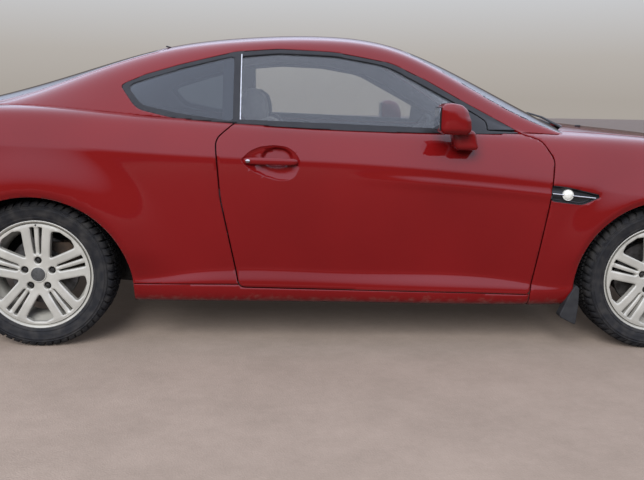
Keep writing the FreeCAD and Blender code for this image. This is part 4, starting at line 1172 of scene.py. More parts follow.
def wheelFace():
    # front of the spokes as a sheet, with the windows, the slots and the nuts' pockets cut out and chamfered
    radii = np.linspace(*wheelLook["span"], wheelLook["rings"])
    angles = np.linspace(0, 2 * math.pi, wheelLook["spokes"] + 1)
    r, a = np.meshgrid(radii, angles, indexing="ij")
    step = 2 * math.pi / wheelLook["groups"]
    window, slot = roundedOutline(wheelLook["window"], 3.0), roundedOutline(wheelLook["slot"], 3.0)

    def local(points, shift):
        radius = np.hypot(points[:, 0], points[:, 2])
        turn = np.arctan2(points[:, 2], points[:, 0]) - math.pi / 2 - shift
        turn = (turn + step / 2) % step - step / 2
        return radius * np.sin(turn), radius * np.cos(turn)

    def windowField(points):
        u, v = local(points, step / 2)
        return outlineDistance(window, u, v)

    def slotField(points):
        u, v = local(points, 0)
        return outlineDistance(slot, np.abs(u), v)

    def pocketField(points):
        u, v = local(points, 0)
        return np.hypot(u, v - wheelLook["nutRadius"]) - wheelLook["pocket"]

    points = np.stack([r * np.cos(a), np.zeros_like(r), r * np.sin(a)], 2)
    sheet = Sheet(points.reshape(-1, 3), np.tile((0.0, 1.0, 0.0), (r.size, 1)),
                  gridFaces(*r.shape)[:, ::-1]).welded()
    sheet = sheet.clipped(outside(windowField), outside(slotField), outside(pocketField))
    p = sheet.points
    u, v = local(p, 0)
    radius = np.hypot(p[:, 0], p[:, 2])
    chamfer, chamferDepth = wheelLook["chamfer"]
    dish, dishFrom, dishOver = wheelLook["dish"]
    lip, lipFrom, lipOver = wheelLook["lip"]
    groove, halfWidth, start, startOver, end, endOver = wheelLook["groove"]
    near = np.minimum(np.minimum(windowField(p), slotField(p)), pocketField(p) * 1.6)
    y = wheelLook["face"] - dish * (1 - smoothStep((radius - dishFrom) / dishOver))
    y -= chamferDepth * (1 - np.clip(near / chamfer, 0, 1)) ** 2
    onSpoke = (np.abs(u) < halfWidth) & (v > start) & (radius < end)
    y -= groove * smoothStep((v - start) / startOver) * smoothStep((end - radius) / endOver) * onSpoke
    y -= lip * smoothStep((radius - lipFrom) / lipOver)
    p[:, 1] = y
    return sheet


def wheelForm():
    # rim, brake disc, hub, blank cap with its ring, tyre bead ring and valve
    form = Form()
    for profile, segments, closed, mark in wheelLook["turned"]:
        form.add(lathe(profile, segments=segments, closed=closed), mark)
    valve = tube([(0, 812, 205), (0, 824, 203), (0, 836, 202)], [4.5, 4, 3.4], 10)
    form.add(valve, 3)
    return form


def nutForm():
    # wheel nut at its place above the axle
    form, z = Form(), wheelLook["nutRadius"]
    hexagon = [(9.6 * math.cos(k * math.pi / 3), z + 9.6 * math.sin(k * math.pi / 3), 0) for k in range(6)]
    form.add(prism(hexagon, (0, 2), 806, 821, 1.4), 0)
    form.add(lathe([(0, 823.5), (4, 823.2), (7, 821.8), (8, 820), (8, 816), (0, 816)], (0, 0, z), 16, closed=False),
             0)
    return form


treadLook = {"count": 56,
             "shoulder": [(804, 291.5), (804, 299.6), (820, 299.2), (831, 295.8), (838, 289.5), (842.5, 281),
                                       (840, 279), (832, 285), (820, 291)],
             "width": 25.0, "skew": 5.0}


def treadForm():
    # one step of the tread: two shoulder blocks and four in the middle
    form = Form()
    half, skew = treadLook["width"] / 2, treadLook["skew"]
    for flip in (1, -1):
        section = [((y - 745) * flip + 745, z) for y, z in treadLook["shoulder"]]
        count = len(section)
        points = []
        for share in (-1, -0.82, 0.82, 1):
            tight = 0.0 if abs(share) < 1 else 1.2
            for y, z in section:
                t = share * half + skew * flip * (z - 290) / 10
                a = t / 296.0
                points.append((math.sin(a) * (z - tight), y, math.cos(a) * (z - tight)))
        form.add((points, ringFaces(4, count)))
        for place, size, push in ((776, 9.5, 6), (756, 8.0, -4)):
            low = (place - 745) * flip + 745
            for lean in (-0.25, 0.25):
                corners = [(-5.6, -size, 0), (5.6, -size, 0), (5.6, size, 0), (-5.6, size, 0)]
                block, faces = prism(corners, (0, 1), -4.4, 4.4, 0.8)
                block = np.array(block, float)
                block[:, 0] += block[:, 1] * 0.22 * flip + push + lean * 30
                form.add((block, faces), 0, centre=(0, low, 295.2))
    return form


def tyreForm():
    # carcass with its side walls' ridges and its hollow inside
    side = [(216.5, 829), (221.5, 836.5), (224.5, 838.5), (229, 840.5), (231, 843), (233.5, 843.2), (235, 842),
            (243, 845.6), (252, 847.2), (262, 847.0), (264, 848.2), (266, 848.2), (268, 846.4), (272, 845.2),
            (274, 846.4), (276, 846.0), (278, 843.2), (283, 838), (288.5, 829), (291.8, 818), (292.6, 800)]
    other = [(r, 1490 - y) for r, y in side[::-1]]
    inner = [(216.5, 661), (230, 664), (270, 664), (276, 690), (276, 800), (270, 826), (230, 826)]
    return Form().add(lathe(side + [(293.4, 745)] + other + inner[1:], segments=120))


alloy = nodeMaterial("castAlloy", (0.48, 0.465, 0.42), 0.32, 0.35)
mottled(alloy, (0.42, 0.407, 0.367), (0.54, 0.523, 0.472), 14.0, 5.0, 0.35, 0.75)
grained(alloy, 900, 0.12)
discSteel = nodeMaterial("discSteel", (0.22, 0.20, 0.18), 0.4, 0.9)
mottled(discSteel, (0.10, 0.085, 0.075), (0.34, 0.33, 0.32), 30.0, 6.0)
darkSteel = nodeMaterial("darkSteel", (0.035, 0.034, 0.033), 0.5, 0.6)
mottled(darkSteel, (0.02, 0.019, 0.018), (0.07, 0.066, 0.06), 60.0)
capGrey = nodeMaterial("capGrey", (0.10, 0.10, 0.10), 0.35, 0.5)
mottled(capGrey, (0.07, 0.07, 0.07), (0.13, 0.13, 0.128), 120.0)
rubber = nodeMaterial("tyreRubber", (0.018, 0.018, 0.018), 0.72)
mottled(rubber, (0.011, 0.011, 0.012), (0.040, 0.037, 0.034), 26.0, 8.0, 0.42, 0.86)
grained(rubber, 420.0, 0.35, 0.0008, 4.0)
leftShapes = wheelFace(), wheelForm(), tyreForm(), nutForm(), treadForm()
rightShapes = [shape.mirrored() for shape in leftShapes]
for end, (x, _, _) in arches.items():
    for side, shapes, push in (("left", leftShapes, -wheelLook["depth"]),
                               ("right", rightShapes, wheelLook["depth"])):
        face, rim, carcass, nut, tread = shapes
        body, node, tyre = f"{end}_wheel_{side}_body", f"{end}_wheel_{side}", f"{end}_tyre_{side}"
        place = np.array((x, 0, wheelLook["axleZ"]))
        flat = Sheet(face.points + place, face.normals, face.faces)
        spokes = slabMesh(node + "_spokes", flat, (0, push, 0), wheelLook["sharp"])
        placed(addObject(node + "_spokes", spokes, alloy), body, node)
        addForm(node + "_rim", rim.at(place), body, node, "alloy", alloy, discSteel, darkSteel, capGrey)
        addForm(tyre + "_body", carcass.at(place), body, tyre, "tyre", rubber)
        about = {"Phase": 0.0, "Centre": tuple(place * mm)}
        repeated(node + "_nuts", nut, ringTree, body, None, "alloy", darkSteel, Count=wheelLook["groups"], **about)
        repeated(tyre + "_tread", tread, ringTree, body, None, "tyre", rubber, Count=treadLook["count"], **about)

print("handles, mirrors, lamps and trim")


def geometryNormals(points, faces):
    a, b, c = points[faces.T]
    n = np.cross(b - a, c - a)
    total = np.zeros_like(points)
    for k in range(3):
        np.add.at(total, faces[:, k], n)
    return unit(total, 1e-12)


def pressed(sheet, depth):
    points = sheet.points - sheet.normals * depth[:, None]
    return Sheet(points, geometryNormals(points, sheet.faces), sheet.faces)


handleLook = {"centre": (-300, 764), "depth": 15.0, "rings": 22, "power": 5.0, "edge": 1.7,
              "pocket": (-293, 784, 62, 40), "pocketDepth": 15.0,
              "bar": [(-422, 770, 867, 7.5), (-405, 771.5, 873.5, 10.5), (-360, 771.5, 878.5, 11.5),
                      (-300, 770.5, 879.5, 11.5), (-250, 769.5, 878.0, 11), (-226, 769, 874.5, 10),
                      (-214, 768.6, 868, 7)]}


def bowlSheet():
    # dished panel inside the rim of the handle recess, with a finger pocket over the bar
    rim = roundedOutline(outlines["handleBowl"], 4.0)
    centre = np.array(handleLook["centre"], float)
    share = 1 - np.linspace(0, 1, handleLook["rings"]) ** 1.35
    share = np.concatenate([[1.035], share])
    flat = centre + (rim - centre)[None] * share[:, None, None]
    flat = np.concatenate([flat, flat[:, :1]], axis=1)
    x, z = flat[:, :, 0], flat[:, :, 1]
    deep = handleLook["edge"] + handleLook["depth"] * (1 - np.minimum(share[:, None], 1) ** handleLook["power"])
    px, pz, pa, pb = handleLook["pocket"]
    pocket = 1 - np.hypot((x - px) / pa, (z - pz) / pb)
    deep = deep + handleLook["pocketDepth"] * smoothStep(pocket / 0.18) * (share[:, None] < 1)
    grid = np.stack([x, tableAt(bodySide, x, z) - deep, z], 2)
    points, faces = grid.reshape(-1, 3), gridFaces(*grid.shape[:2])
    sheet = Sheet(points, np.tile((0.0, 1.0, 0.0), (len(points), 1)), faces).welded()
    normals = geometryNormals(sheet.points, sheet.faces)
    if normals[:, 1].mean() < 0:
        return Sheet(sheet.points, -normals, sheet.faces[:, ::-1])
    return Sheet(sheet.points, normals, sheet.faces)


addPair("handle_bowl", bowlSheet(), 3, "door_SIDE_body", None, "body_paint", paint, rolled=0)
bar = Form()
path = smoothPath([(x, y, z) for x, z, y, _ in handleLook["bar"]], 40)
radii = np.interp(np.linspace(0, 1, 40), np.linspace(0, 1, 7), [b[3] for b in handleLook["bar"]])
radii[0] = radii[-1] = 2.0
radii[1] = radii[-2] = 5.5
grip = tube(path, radii, 18)
grip[0][:, 1] = path[:, 1].repeat(18) + (grip[0][:, 1] - path[:, 1].repeat(18)) * 0.62
grip[0][:, 2] = path[:, 2].repeat(18) + (grip[0][:, 2] - path[:, 2].repeat(18)) * 1.18
bar.add(grip)
for x0, z0 in ((-410, 771), (-235, 769)):
    bar.add(tube([(x0, 853, z0), (x0, 868, z0)], 7.5, 12))
addFormPair("door_handle", bar, "door_SIDE_body", "door_fittings_SIDE", "body_paint", paint)
lock = Form().add(lathe([(0, 7.6), (4.4, 7.2), (6.6, 5.4), (7.2, 2.0), (7.2, -6), (0, -6)], (-407, 878.6, 771.5),
                        24, closed=False))
lock.points[0][:, 0] = -407 + (lock.points[0][:, 0] + 407) * 1.35
brightMetal = nodeMaterial("brightMetal", (0.74, 0.73, 0.71), 0.18, 1.0)
mottled(brightMetal, (0.62, 0.61, 0.59), (0.80, 0.79, 0.77), 90.0)
addFormPair("key_lock", lock, "door_SIDE_body", None, "alloy", brightMetal)

mirrorLook = {"centre": (381, 938, 948), "half": (59, 66, 56), "round": 25, "foot": (45, 46, 37)}
shell = roundBox(mirrorLook["half"], mirrorLook["round"], (4, 5, 4), 6, 6)
p = shell[0]
long, _, tall = mirrorLook["half"]
front, low = np.clip(p[:, 0] / long, -1, 1), np.clip(-p[:, 2] / tall, -1, 1)
p[:, 0] += (9 * low - 3 - 9 * (p[:, 2] > 0) * p[:, 2] / tall) * smoothStep(front + 0.6)
p[:, 2] -= 5 * smoothStep(front) * (p[:, 2] > 0)
p[:, 1] *= 1 - 0.14 * smoothStep(front)
housing = Form().add(shell, centre=mirrorLook["centre"])
foot = roundBox(mirrorLook["foot"], 15, (2, 0, 2), 5, 4)
q = foot[0]
_, wide, tall = mirrorLook["foot"]
q[:, 0] += -9 * q[:, 2] / tall + (q[:, 1] < 0) * 0.10 * -q[:, 1]
q[:, 2] += 0.10 * (q[:, 1] + wide)
housing.add(foot, centre=(434, 886, 859))
addFormPair("mirror_housing", housing, "door_SIDE_body", "door_fittings_SIDE", "body_paint", paint)
mirrorGlass = nodeMaterial("mirrorGlass", (0.75, 0.78, 0.80), 0.02, 1.0)
mottled(mirrorGlass, (0.72, 0.76, 0.79), (0.78, 0.80, 0.82), 8.0)
rim = Form().box((321, 938, 948), (3, 54, 44), 3, steps=2)
rim.box((317.6, 938, 948), (1.5, 50, 40), 1.5, mark=1, steps=1)
addFormPair("mirror_glass", rim, "door_SIDE_body", None, "black_plastic", blackTrim, mirrorGlass)
patch = roofHalf.clipped(within("doorGlass", "side", -3.0), slab(0, 476, 860), sideOnly).moved(-3.5)
addPair("mirror_patch", patch, 5, "door_SIDE_body", None, "black_plastic", blackTrim)

# Side vent, its bar and its lamp
ventLook = {"depth": 12.0, "edge": (2.5, 5)}
vent = bodyHalf.clipped(grownBy(within("vent"), -0.6), skinOnly, *cutAway(within("door"))).refinedNear(everywhere,
                                                                                                       2)
edge = -outlineDistance(roundedOutline(outlines["vent"]), vent.points[:, 0], vent.points[:, 2])
inward, over = ventLook["edge"]
vent = pressed(vent, 1.0 + ventLook["depth"] * smoothStep((edge - inward) / over))
addPair("side_vent", vent, 3, "root", "side_vents", "black_plastic", blackTrim, rolled=0)
ventBar = Form()
barLine = np.linspace((808, 657), (984, 641), 20)
ventBar.add(tube(np.stack([barLine[:, 0], tableAt(bodySide, barLine[:, 0], barLine[:, 1]) - 5, barLine[:, 1]], 1),
                 3.6, 10))
lampGlass = nodeMaterial("lampGlass", (0.78, 0.77, 0.70), 0.08, 0.35)
mottled(lampGlass, (0.70, 0.69, 0.62), (0.86, 0.85, 0.80), 180.0)
lampPlace = (872, float(tableAt(bodySide, 872, 651.5)) - 4, 651.5)
ventLamp = Form().add(lathe([(0, 9.5), (9, 8.6), (15, 6.0), (18.6, 1.5), (19.4, -3), (19.4, -16), (0, -16)],
                            lampPlace, 36, closed=False))
ventLamp.add(lathe([(18.8, 1.2), (20.6, 1.6), (22.4, -0.6), (22.4, -14), (18.8, -14)], lampPlace, 36))
addFormPair("vent_bar", ventBar, "root", None, "alloy", brightMetal)
addFormPair("vent_lamp", ventLamp, "root", None, "lamp_clear", lampGlass)

# Window surround: bright strip on the glass edge and the belt seals
edgeZ = np.linspace(908, 1186, 24)
strip = Form().add(tube(np.stack([np.full(24, -441.0), tableAt(roofSide, -441, edgeZ) - 4.5, edgeZ], 1), 3.0, 8))
addFormPair("glass_edge", strip, "door_SIDE_body", None, "alloy", brightMetal)
beltSeal = roofHalf.clipped(slab(1, 640), within("beltLine")).refinedNear(everywhere)
addPair("belt_seal", beltSeal.moved(1.5), 5, "door_SIDE_body", None, "black_plastic", blackTrim, rolled=1.0)

print("cabin")
cloth = nodeMaterial("seatCloth", (0.085, 0.088, 0.095), 0.9)
mottled(cloth, (0.055, 0.057, 0.062), (0.12, 0.123, 0.13), 60.0, 6.0)
cloth.node_tree.nodes["Principled BSDF"].inputs["Sheen Weight"].default_value = 0.25
grained(cloth, 1200, 0.5, 0.0008)
sideCloth = nodeMaterial("bolsterCloth", (0.05, 0.051, 0.055), 0.85)
mottled(sideCloth, (0.035, 0.036, 0.04), (0.07, 0.071, 0.076), 70.0, 6.0)
grained(sideCloth, 1200, 0.5, 0.0008)
trimGrey = nodeMaterial("cabinTrim", (0.11, 0.112, 0.118), 0.7)
mottled(trimGrey, (0.09, 0.092, 0.098), (0.13, 0.132, 0.138), 40.0)
grained(trimGrey, 900, 0.2, 0.0006)
darkTrim = nodeMaterial("dashTrim", (0.030, 0.031, 0.034), 0.6)
mottled(darkTrim, (0.022, 0.023, 0.026), (0.042, 0.043, 0.047), 40.0)
grained(darkTrim, 900, 0.2, 0.0006)


def seatForm(y):
    # cushion, bolsters, back and head rest of one front seat
    form = Form()
    form.box((70, y, 398), (232, 160, 62), 46, (4, 0, 18), 5, 8, pitch=-7)
    for s in (1, -1):
        form.box((66, y + s * 188, 404), (225, 42, 74), 40, (6, 4, 10), 5, 6, mark=1, pitch=-7)
        form.box((-262, y + s * 178, 655), (70, 40, 238), 36, (6, 4, 8), 5, 6, mark=1, pitch=-19)
    form.box((-272, y, 668), (58, 158, 268), 46, (18, 0, 6), 5, 8, pitch=-19)
    form.box((-398, y, 972), (48, 118, 74), 40, (10, 6, 10), 5, 6, pitch=-12)
    for s in (1, -1):
        form.add(tube([(-352, y + s * 52, 880), (-385, y + s * 52, 960)], 6, 10), 2)
    form.box((60, y, 262), (205, 175, 14), 8, mark=2)
    return form


for side, sign in (("left", 1), ("right", -1)):
    seat = addForm(f"front_seat_pad_{side}", seatForm(sign * 370), "root", f"front_seat_{side}", "seat_cloth",
                   cloth, sideCloth, darkSteel)
rear = Form()
for s in (1, -1):
    rear.box((-610, s * 300, 432), (168, 205, 62), 48, (6, 4, 16), 5, 8, pitch=-5)
    rear.box((-836, s * 300, 655), (52, 205, 235), 44, (16, 4, 6), 5, 8, pitch=-21)
    rear.box((-610, s * 526, 436), (150, 26, 56), 24, (2, 2, 6), 4, 6, mark=1, pitch=-5)
rear.box((-612, 0, 430), (150, 88, 50), 40, (4, 4, 10), 5, 5, mark=1, pitch=-5)
rear.box((-838, 0, 652), (46, 86, 222), 40, (8, 4, 6), 5, 5, mark=1, pitch=-21)
bench = addForm("rear_seat_pad", rear, "root", "rear_seat", "seat_cloth", cloth, sideCloth)

dash = Form()
dash.box((640, 0, 800), (150, 590, 60), 42, (0, 0, 8), 5, 8)
dash.box((680, 0, 690), (105, 600, 110), 60, (0, 0, 0), 5, 8)
dash.box((560, 370, 846), (90, 165, 42), 34, (4, 0, 8), 5, 5)
dash.box((474, 370, 838), (20, 130, 34), 12, mark=1, pitch=-20)
dash.box((560, 0, 700), (60, 120, 130), 26, pitch=-18)
dash.box((494, 0, 742), (8, 88, 52), 6, mark=1, pitch=-18)
dash.box((300, 0, 400), (300, 92, 66), 30)
dash.box((-60, 0, 470), (140, 78, 40), 30, (4, 4, 8), 5, 5)
dash.add(tube([(250, 0, 455), (243, 0, 520), (238, 0, 556)], [9, 7, 8], 12), 1)
dash.box((236, 0, 572), (20, 20, 24), 18)
addForm("dash_pad", dash, "root", "dashboard", "trim", darkTrim, blackTrim)
for side, y in (("right", -500), ("left", 500)):
    vents = Form().box((486, y, 800), (5, 44, 1.6), 1.5, steps=1, spans=1)
    repeated(f"dash_vent_{side}", vents, rowTree, "root", None, "trim", blackTrim,
             Count=6, Step=(0.0, 0.0, 0.009), Centre=(0.0, 0.0, 0.0))

inner = Form()
inner.add(prism([(-430, 300, 40), (-500, 850, 30), (-440, 884, 30), (630, 866, 30), (640, 620, 60), (600, 290, 40)],
                (0, 2), 716, 728, 3))
inner.box((40, 706, 620), (250, 30, 30), 24, mark=1)
inner.box((150, 716, 380), (300, 16, 70), 14, mark=1)
inner.add(tube([(250, 690, 740), (250, 700, 742)], 14, 12), 2)
inner.box((225, 694, 742), (34, 6, 9), 5, mark=2)
addFormPair("door_trim", inner, "door_SIDE_body", None, "trim", trimGrey, darkTrim, brightMetal)

glassMirror = Form().box((366, 0, 1150), (9, 108, 30), 9, (2, 0, 0), 3, 4, pitch=8)
glassMirror.box((356.5, 0, 1149), (1.2, 100, 25), 1.2, mark=1, pitch=8, steps=1)
glassMirror.add(tube([(372, 0, 1158), (392, 0, 1178), (398, 0, 1192)], 6, 10), 0)
addForm("cabin_mirror", glassMirror, "root", None, "trim", darkTrim, mirrorGlass)
belt = Form()
for s in (1, -1):
    for a, b in (((-455, 640, 1080), (-448, 668, 700)), ((-448, 668, 700), (-440, 690, 330))):
        a, b = np.array(a) * (1, s, 1), np.array(b) * (1, s, 1)
        belt.add(roundBox((1.2, 23, np.linalg.norm(b - a) / 2), 1.0, steps=1, spans=1), 0,
                 Vector((0, 0, 1)).rotation_difference(Vector(b - a)), (a + b) / 2)
    belt.box((-455, s * 640, 1088), (8, 20, 14), 6, mark=1)
addForm("seat_belts", belt, "root", None, "trim", sideCloth, darkTrim)
wheelPad = Form()
tilt = pitched(24)
centre = np.array((440, 370, 760))
rimSection = [(180 + 15 * math.cos(k * math.pi / 6), 15 * math.sin(k * math.pi / 6)) for k in range(12)]
wheelPad.add(lathe(rimSection, segments=64, axis=0), 0, tilt, centre)
wheelPad.add(roundBox((20, 62, 56), 18, (6, 0, 0), 4, 4), 0, tilt, centre)
for degrees in (0, 180, 250, 290):
    a = math.radians(degrees)
    spoke = [(2, 50 * math.cos(a), 50 * math.sin(a)), (0, 172 * math.cos(a), 172 * math.sin(a))]
    wheelPad.add(tube(spoke, [15, 11], 10), 1, tilt, centre)
wheelPad.add(tube([(10, 0, 0), (150, 0, 0)], 30, 20), 0, tilt, centre)
addForm("steering_wheel_rim", wheelPad, "root", "steering_wheel", "trim", darkTrim, capGrey)

print("lamps, grilles and bumper details")


def surfaceAt(sheet, a, b, plane="side"):
    # the sheet's point nearest to a place in one plane
    i, j = planes[plane]
    far = np.hypot(sheet.points[:, i] - a, sheet.points[:, j] - b) + (sheet.points[:, 1] < -1) * 1e4
    return sheet.points[np.argmin(far)]


clearLens = makeGlass("lampLens", (0.86, 0.88, 0.90), 0.02)
reflector = nodeMaterial("reflector", (0.80, 0.80, 0.80), 0.12, 1.0)
mottled(reflector, (0.70, 0.70, 0.70), (0.86, 0.86, 0.86), 60.0)
bulbGlass = nodeMaterial("projector", (0.30, 0.32, 0.36), 0.03, 0.6)
mottled(bulbGlass, (0.24, 0.26, 0.30), (0.42, 0.44, 0.48), 40.0)
tailRed = nodeMaterial("tailRed", (0.34, 0.008, 0.008), 0.12)
tailRed.node_tree.nodes["Principled BSDF"].inputs["Coat Weight"].default_value = 1.0
mottled(tailRed, (0.28, 0.006, 0.006), (0.42, 0.012, 0.010), 160.0)

lens = bodyHalf.clipped(*kept(headLampArea))
addPair("headlamp_lens", lens.moved(-1.5), 3, "root", "headlamps", "lamp_clear", clearLens, rolled=0)
lampBack = bodyHalf.clipped(grownBy(headLampArea, 3)).moved(-34)
addPair("headlamp_back", lampBack, 3, "root", None, "black_plastic", blackTrim, rolled=0)
for name, x, z, radius in (("low", 1930, 655, 44), ("high", 2060, 612, 34)):
    spot = surfaceAt(bodyHalf, x, z)
    bowl = [(radius, 0), (radius - 1.5, 1), (radius * 0.62, -16), (radius * 0.55, -18), (radius * 0.55, -24),
            (radius, -20)]
    bulb = [(0, 2), (radius * 0.3, 0), (radius * 0.5, -8), (radius * 0.54, -16), (0, -16)]
    cup = Form().add(lathe(bowl, segments=40, axis=0), 0)
    cup.add(lathe(bulb, segments=32, axis=0, closed=False), 1)
    cup.turned(38, (spot[0] - 26, spot[1] - 20, z))
    addFormPair(f"headlamp_{name}", cup, "root", None, "lamp_clear", reflector, bulbGlass)

rearLens = bodyHalf.clipped(*kept(tailLampArea))
addPair("tail_lamp_lens", rearLens, 4, "root", "tail_lamps", "lamp_red", tailRed, rolled=1.0)
for name, y, lean, radius in (("outer", 684, 0.92, 44), ("inner", 578, 0.97, 38)):
    near = rearLens.points[np.hypot(rearLens.points[:, 1] - y, rearLens.points[:, 2] - 800) < 80]
    fitted = lambda v, w: np.stack([v * 0 + 1, v, w, v * v, v * w, w * w], 1)
    shape = np.linalg.lstsq(fitted(near[:, 1] - y, near[:, 2] - 800), near[:, 0], rcond=None)[0]
    ring = Form()
    for mark, outline in enumerate(([(radius, -3), (radius, 2.6), (radius - 4, 3.6), (radius - 9, 2.6),
                                     (radius - 9, -3)],
                                    [(0, 3.6), (radius * 0.42, 3.0), (radius * 0.5, -2), (0, -2)])):
        points, faces = lathe(outline, segments=48, axis=0, closed=mark == 0)
        out = points[:, 0].copy()
        points[:, 1] *= lean
        points[:, 0] = fitted(points[:, 1], points[:, 2]) @ shape - out
        ring.add((points, faces), mark, centre=(0, y, 800))
    addFormPair(f"tail_lamp_{name}", ring, "root", None, "lamp_red", reflector, bulbGlass)

# Grilles and openings of the nose
noseHalf = bodyHalf.clipped(slab(0, 1500))
noseWhole = bodyWhole.clipped(slab(0, 1500))


def noseX(y, z):
    return surfaceAt(noseHalf, abs(y), z, "front")[0]


for name, outline, step, count, deep in (("upper_grille", "upperGrille", 0.0105, 5, 17),
                                         ("lower_grille", "lowerGrille", 0.0165, 8, 19)):
    corners = outlines[outline]
    low, high = min(c[1] for c in corners), max(c[1] for c in corners)
    wide = max(abs(c[0]) for c in corners) + 4
    ys = np.linspace(-wide, wide, 41)
    nodesX = [noseX(y, (low + high) / 2) for y in np.linspace(0, wide, 7)]
    fit = np.polyfit(np.linspace(0, wide, 7) ** 2, nodesX, 2)
    path = np.stack([np.polyval(fit, ys ** 2) - deep, ys, np.full(41, low + 5.0)], 1)
    blade = tube(path, 4.0, 8)
    blade[0][:, 0] = path[:, 0].repeat(8) + (blade[0][:, 0] - path[:, 0].repeat(8)) * 2.0
    blade[0][:, 2] = path[:, 2].repeat(8) + (blade[0][:, 2] - path[:, 2].repeat(8)) * 0.75
    repeated(name, Form().add(blade), rowTree, "root", "grille", "black_plastic", blackPlastic,
             Count=count, Step=(0.0, 0.0, step), Centre=(0.0, 0.0, 0.0))
backs = noseWhole.clipped(anyOf(grownBy(upperOpening, 16), grownBy(lowerOpening, 22))).moved(-46)
addWhole("grille_backing", backs, 4, "root", "grille", "black_plastic", blackPlastic, rolled=0)
posts = Form()
for y in (-240, -80, 80, 240):
    posts.box((noseX(y, 335) - 34, y, 335), (7, 3, 62), 2, steps=1, spans=1)
addForm("grille_posts", posts, "root", None, "black_plastic", blackPlastic)
bulkhead = Form().box((854, 680, 530), (4, 92, 300), 2, steps=1, spans=1)
addFormPair("bulkhead_side", bulkhead, "root", None, "black_plastic", liner)
fogBack = noseHalf.clipped(grownBy(fogOpening, 26), slab(1, 300)).moved(-34)
addPair("fog_pocket", fogBack, 3, "root", None, "black_plastic", blackPlastic, rolled=0)
socket = Form().add(lathe([(8, -12), (8, 0.6), (9.5, 1.8), (15, 1.4), (16.5, -0.5), (16.5, -12)], segments=32,
                          axis=0), 0)
socket.add(lathe([(0, -10), (8, -10), (8, -12), (0, -12)], segments=24, axis=0, closed=False), 1)
addForm("tow_socket", socket.turned(-14, (noseX(-440, 500) + 1, -440, 500)), "root", None, "black_plastic",
        blackPlastic, darkSteel)
fog = Form()
fogSpot = surfaceAt(noseHalf, 552, 376, "front")
fog.add(lathe([(40, -8), (40, 4), (36, 6), (33, 2), (33, -8)], segments=40, axis=0), 0)
fog.add(lathe([(0, 5), (20, 3.5), (33, -2), (33, -14), (0, -14)], segments=36, axis=0, closed=False), 1)
addFormPair("fog_lamp", fog.turned(22, (fogSpot[0] - 18, 552, 376)), "root", None, "lamp_clear", reflector,
            bulbGlass)
plate = nodeMaterial("blankPlate", (0.62, 0.62, 0.60), 0.4)
mottled(plate, (0.57, 0.57, 0.55), (0.66, 0.66, 0.64), 30.0)
plates = Form()
plates.box((noseX(4, 480) + 6, 0, 482), (2, 260, 56), 2, steps=2)
plates.box((noseX(4, 480) - 13, 0, 482), (19, 268, 64), 5, mark=1, steps=2)
rearX = bodyWhole.clipped(slab(0, -3000, -1900)).points
rearSpot = rearX[np.argmin(np.hypot(rearX[:, 1], rearX[:, 2] - 590))][0]
plates.box((rearSpot - 2, 0, 585), (3, 262, 58), 3, steps=2)
plates.box((rearSpot + 2, 0, 585), (5, 272, 66), 6, mark=1, steps=2)
addForm("number_plates", plates, "root", None, "trim", plate, blackPlastic)

# Tail pipes, mud flaps, cowl, wipers and hatch hinges
pipes = Form()
for y in (-300, -220):
    sleeve = [(33.2, -2184), (35.0, -2183.4), (35.8, -2181), (35.8, -2040), (34.2, -2040), (34.2, -2178),
              (32.6, -2180)]
    inside = [(0, -2178.6), (33.6, -2178.6), (33.6, -2176.6), (0, -2176.6)]
    pipes.add(lathe(sleeve, (0, y, 228), 44, axis=0), 0)
    pipes.add(lathe(inside, (0, y, 228), 40, axis=0, closed=False), 1)
addForm("tail_pipes", pipes, "root", None, "exhaust", brightMetal, liner)
flapOutline = [(932, 284, 6), (946, 268, 8), (947, 190, 100), (940, 114, 8), (868, 150, 16), (886, 192, 40),
               (906, 240, 60)]
addFormPair("mud_flap", Form().add(prism(flapOutline, (0, 2), 832, 877, 3)), "root", "mud_flaps", "black_plastic",
            blackPlastic)
cowlSheet = bodyWhole.joinedWith(roofWhole).clipped(slab(0, 880, 1075), slab(1, -690, 690), slab(2, 800),
                                                    *cutAway(hoodArea), outside(screenArea))
addWhole("cowl_cover", cowlSheet.moved(-4), 4, "root", "cowl_and_bulkhead", "black_plastic", blackPlastic, rolled=0)


def onScreen(x, y, lift):
    return x, y, heightOver(roofHeights, x, y) + lift


wipers = Form()
for y0, y1 in ((-470, 120), (-60, 600)):
    arm = onScreen(985, y0, 12), onScreen(950, (y0 + y1) / 2 - 60, 24), onScreen(925, y1 - 200, 22)
    blade = onScreen(952, y1 - 470, 7), onScreen(938, y1 - 230, 8), onScreen(912, y1 + 20, 7)
    wipers.add(tube(arm, [7, 5, 4], 8))
    wipers.add(tube(blade, [4, 5.5, 4], 8))
    wipers.add(lathe([(0, 16), (9, 15), (13, 10), (14, -10), (0, -10)], onScreen(985, y0, 4), 20, axis=2,
                     closed=False))
addForm("wipers", wipers, "root", None, "black_plastic", blackPlastic)
jets = Form()
for y in (-330, 330):
    jets.box((1090, y, heightOver(bodyHeights, 1090, y) + 2), (12, 9, 5), 4, steps=3)
addForm("washer_jets", jets, "hood_body", None, "black_plastic", blackPlastic)
marks = Form()
for y in (-400, 400):
    marks.box((-768, y, heightOver(roofHeights, -768, y)), (16, 22, 3.0), 2.6, pitch=14, steps=2)
addForm("hatch_marks", marks, "root", None, "black_plastic", blackTrim)

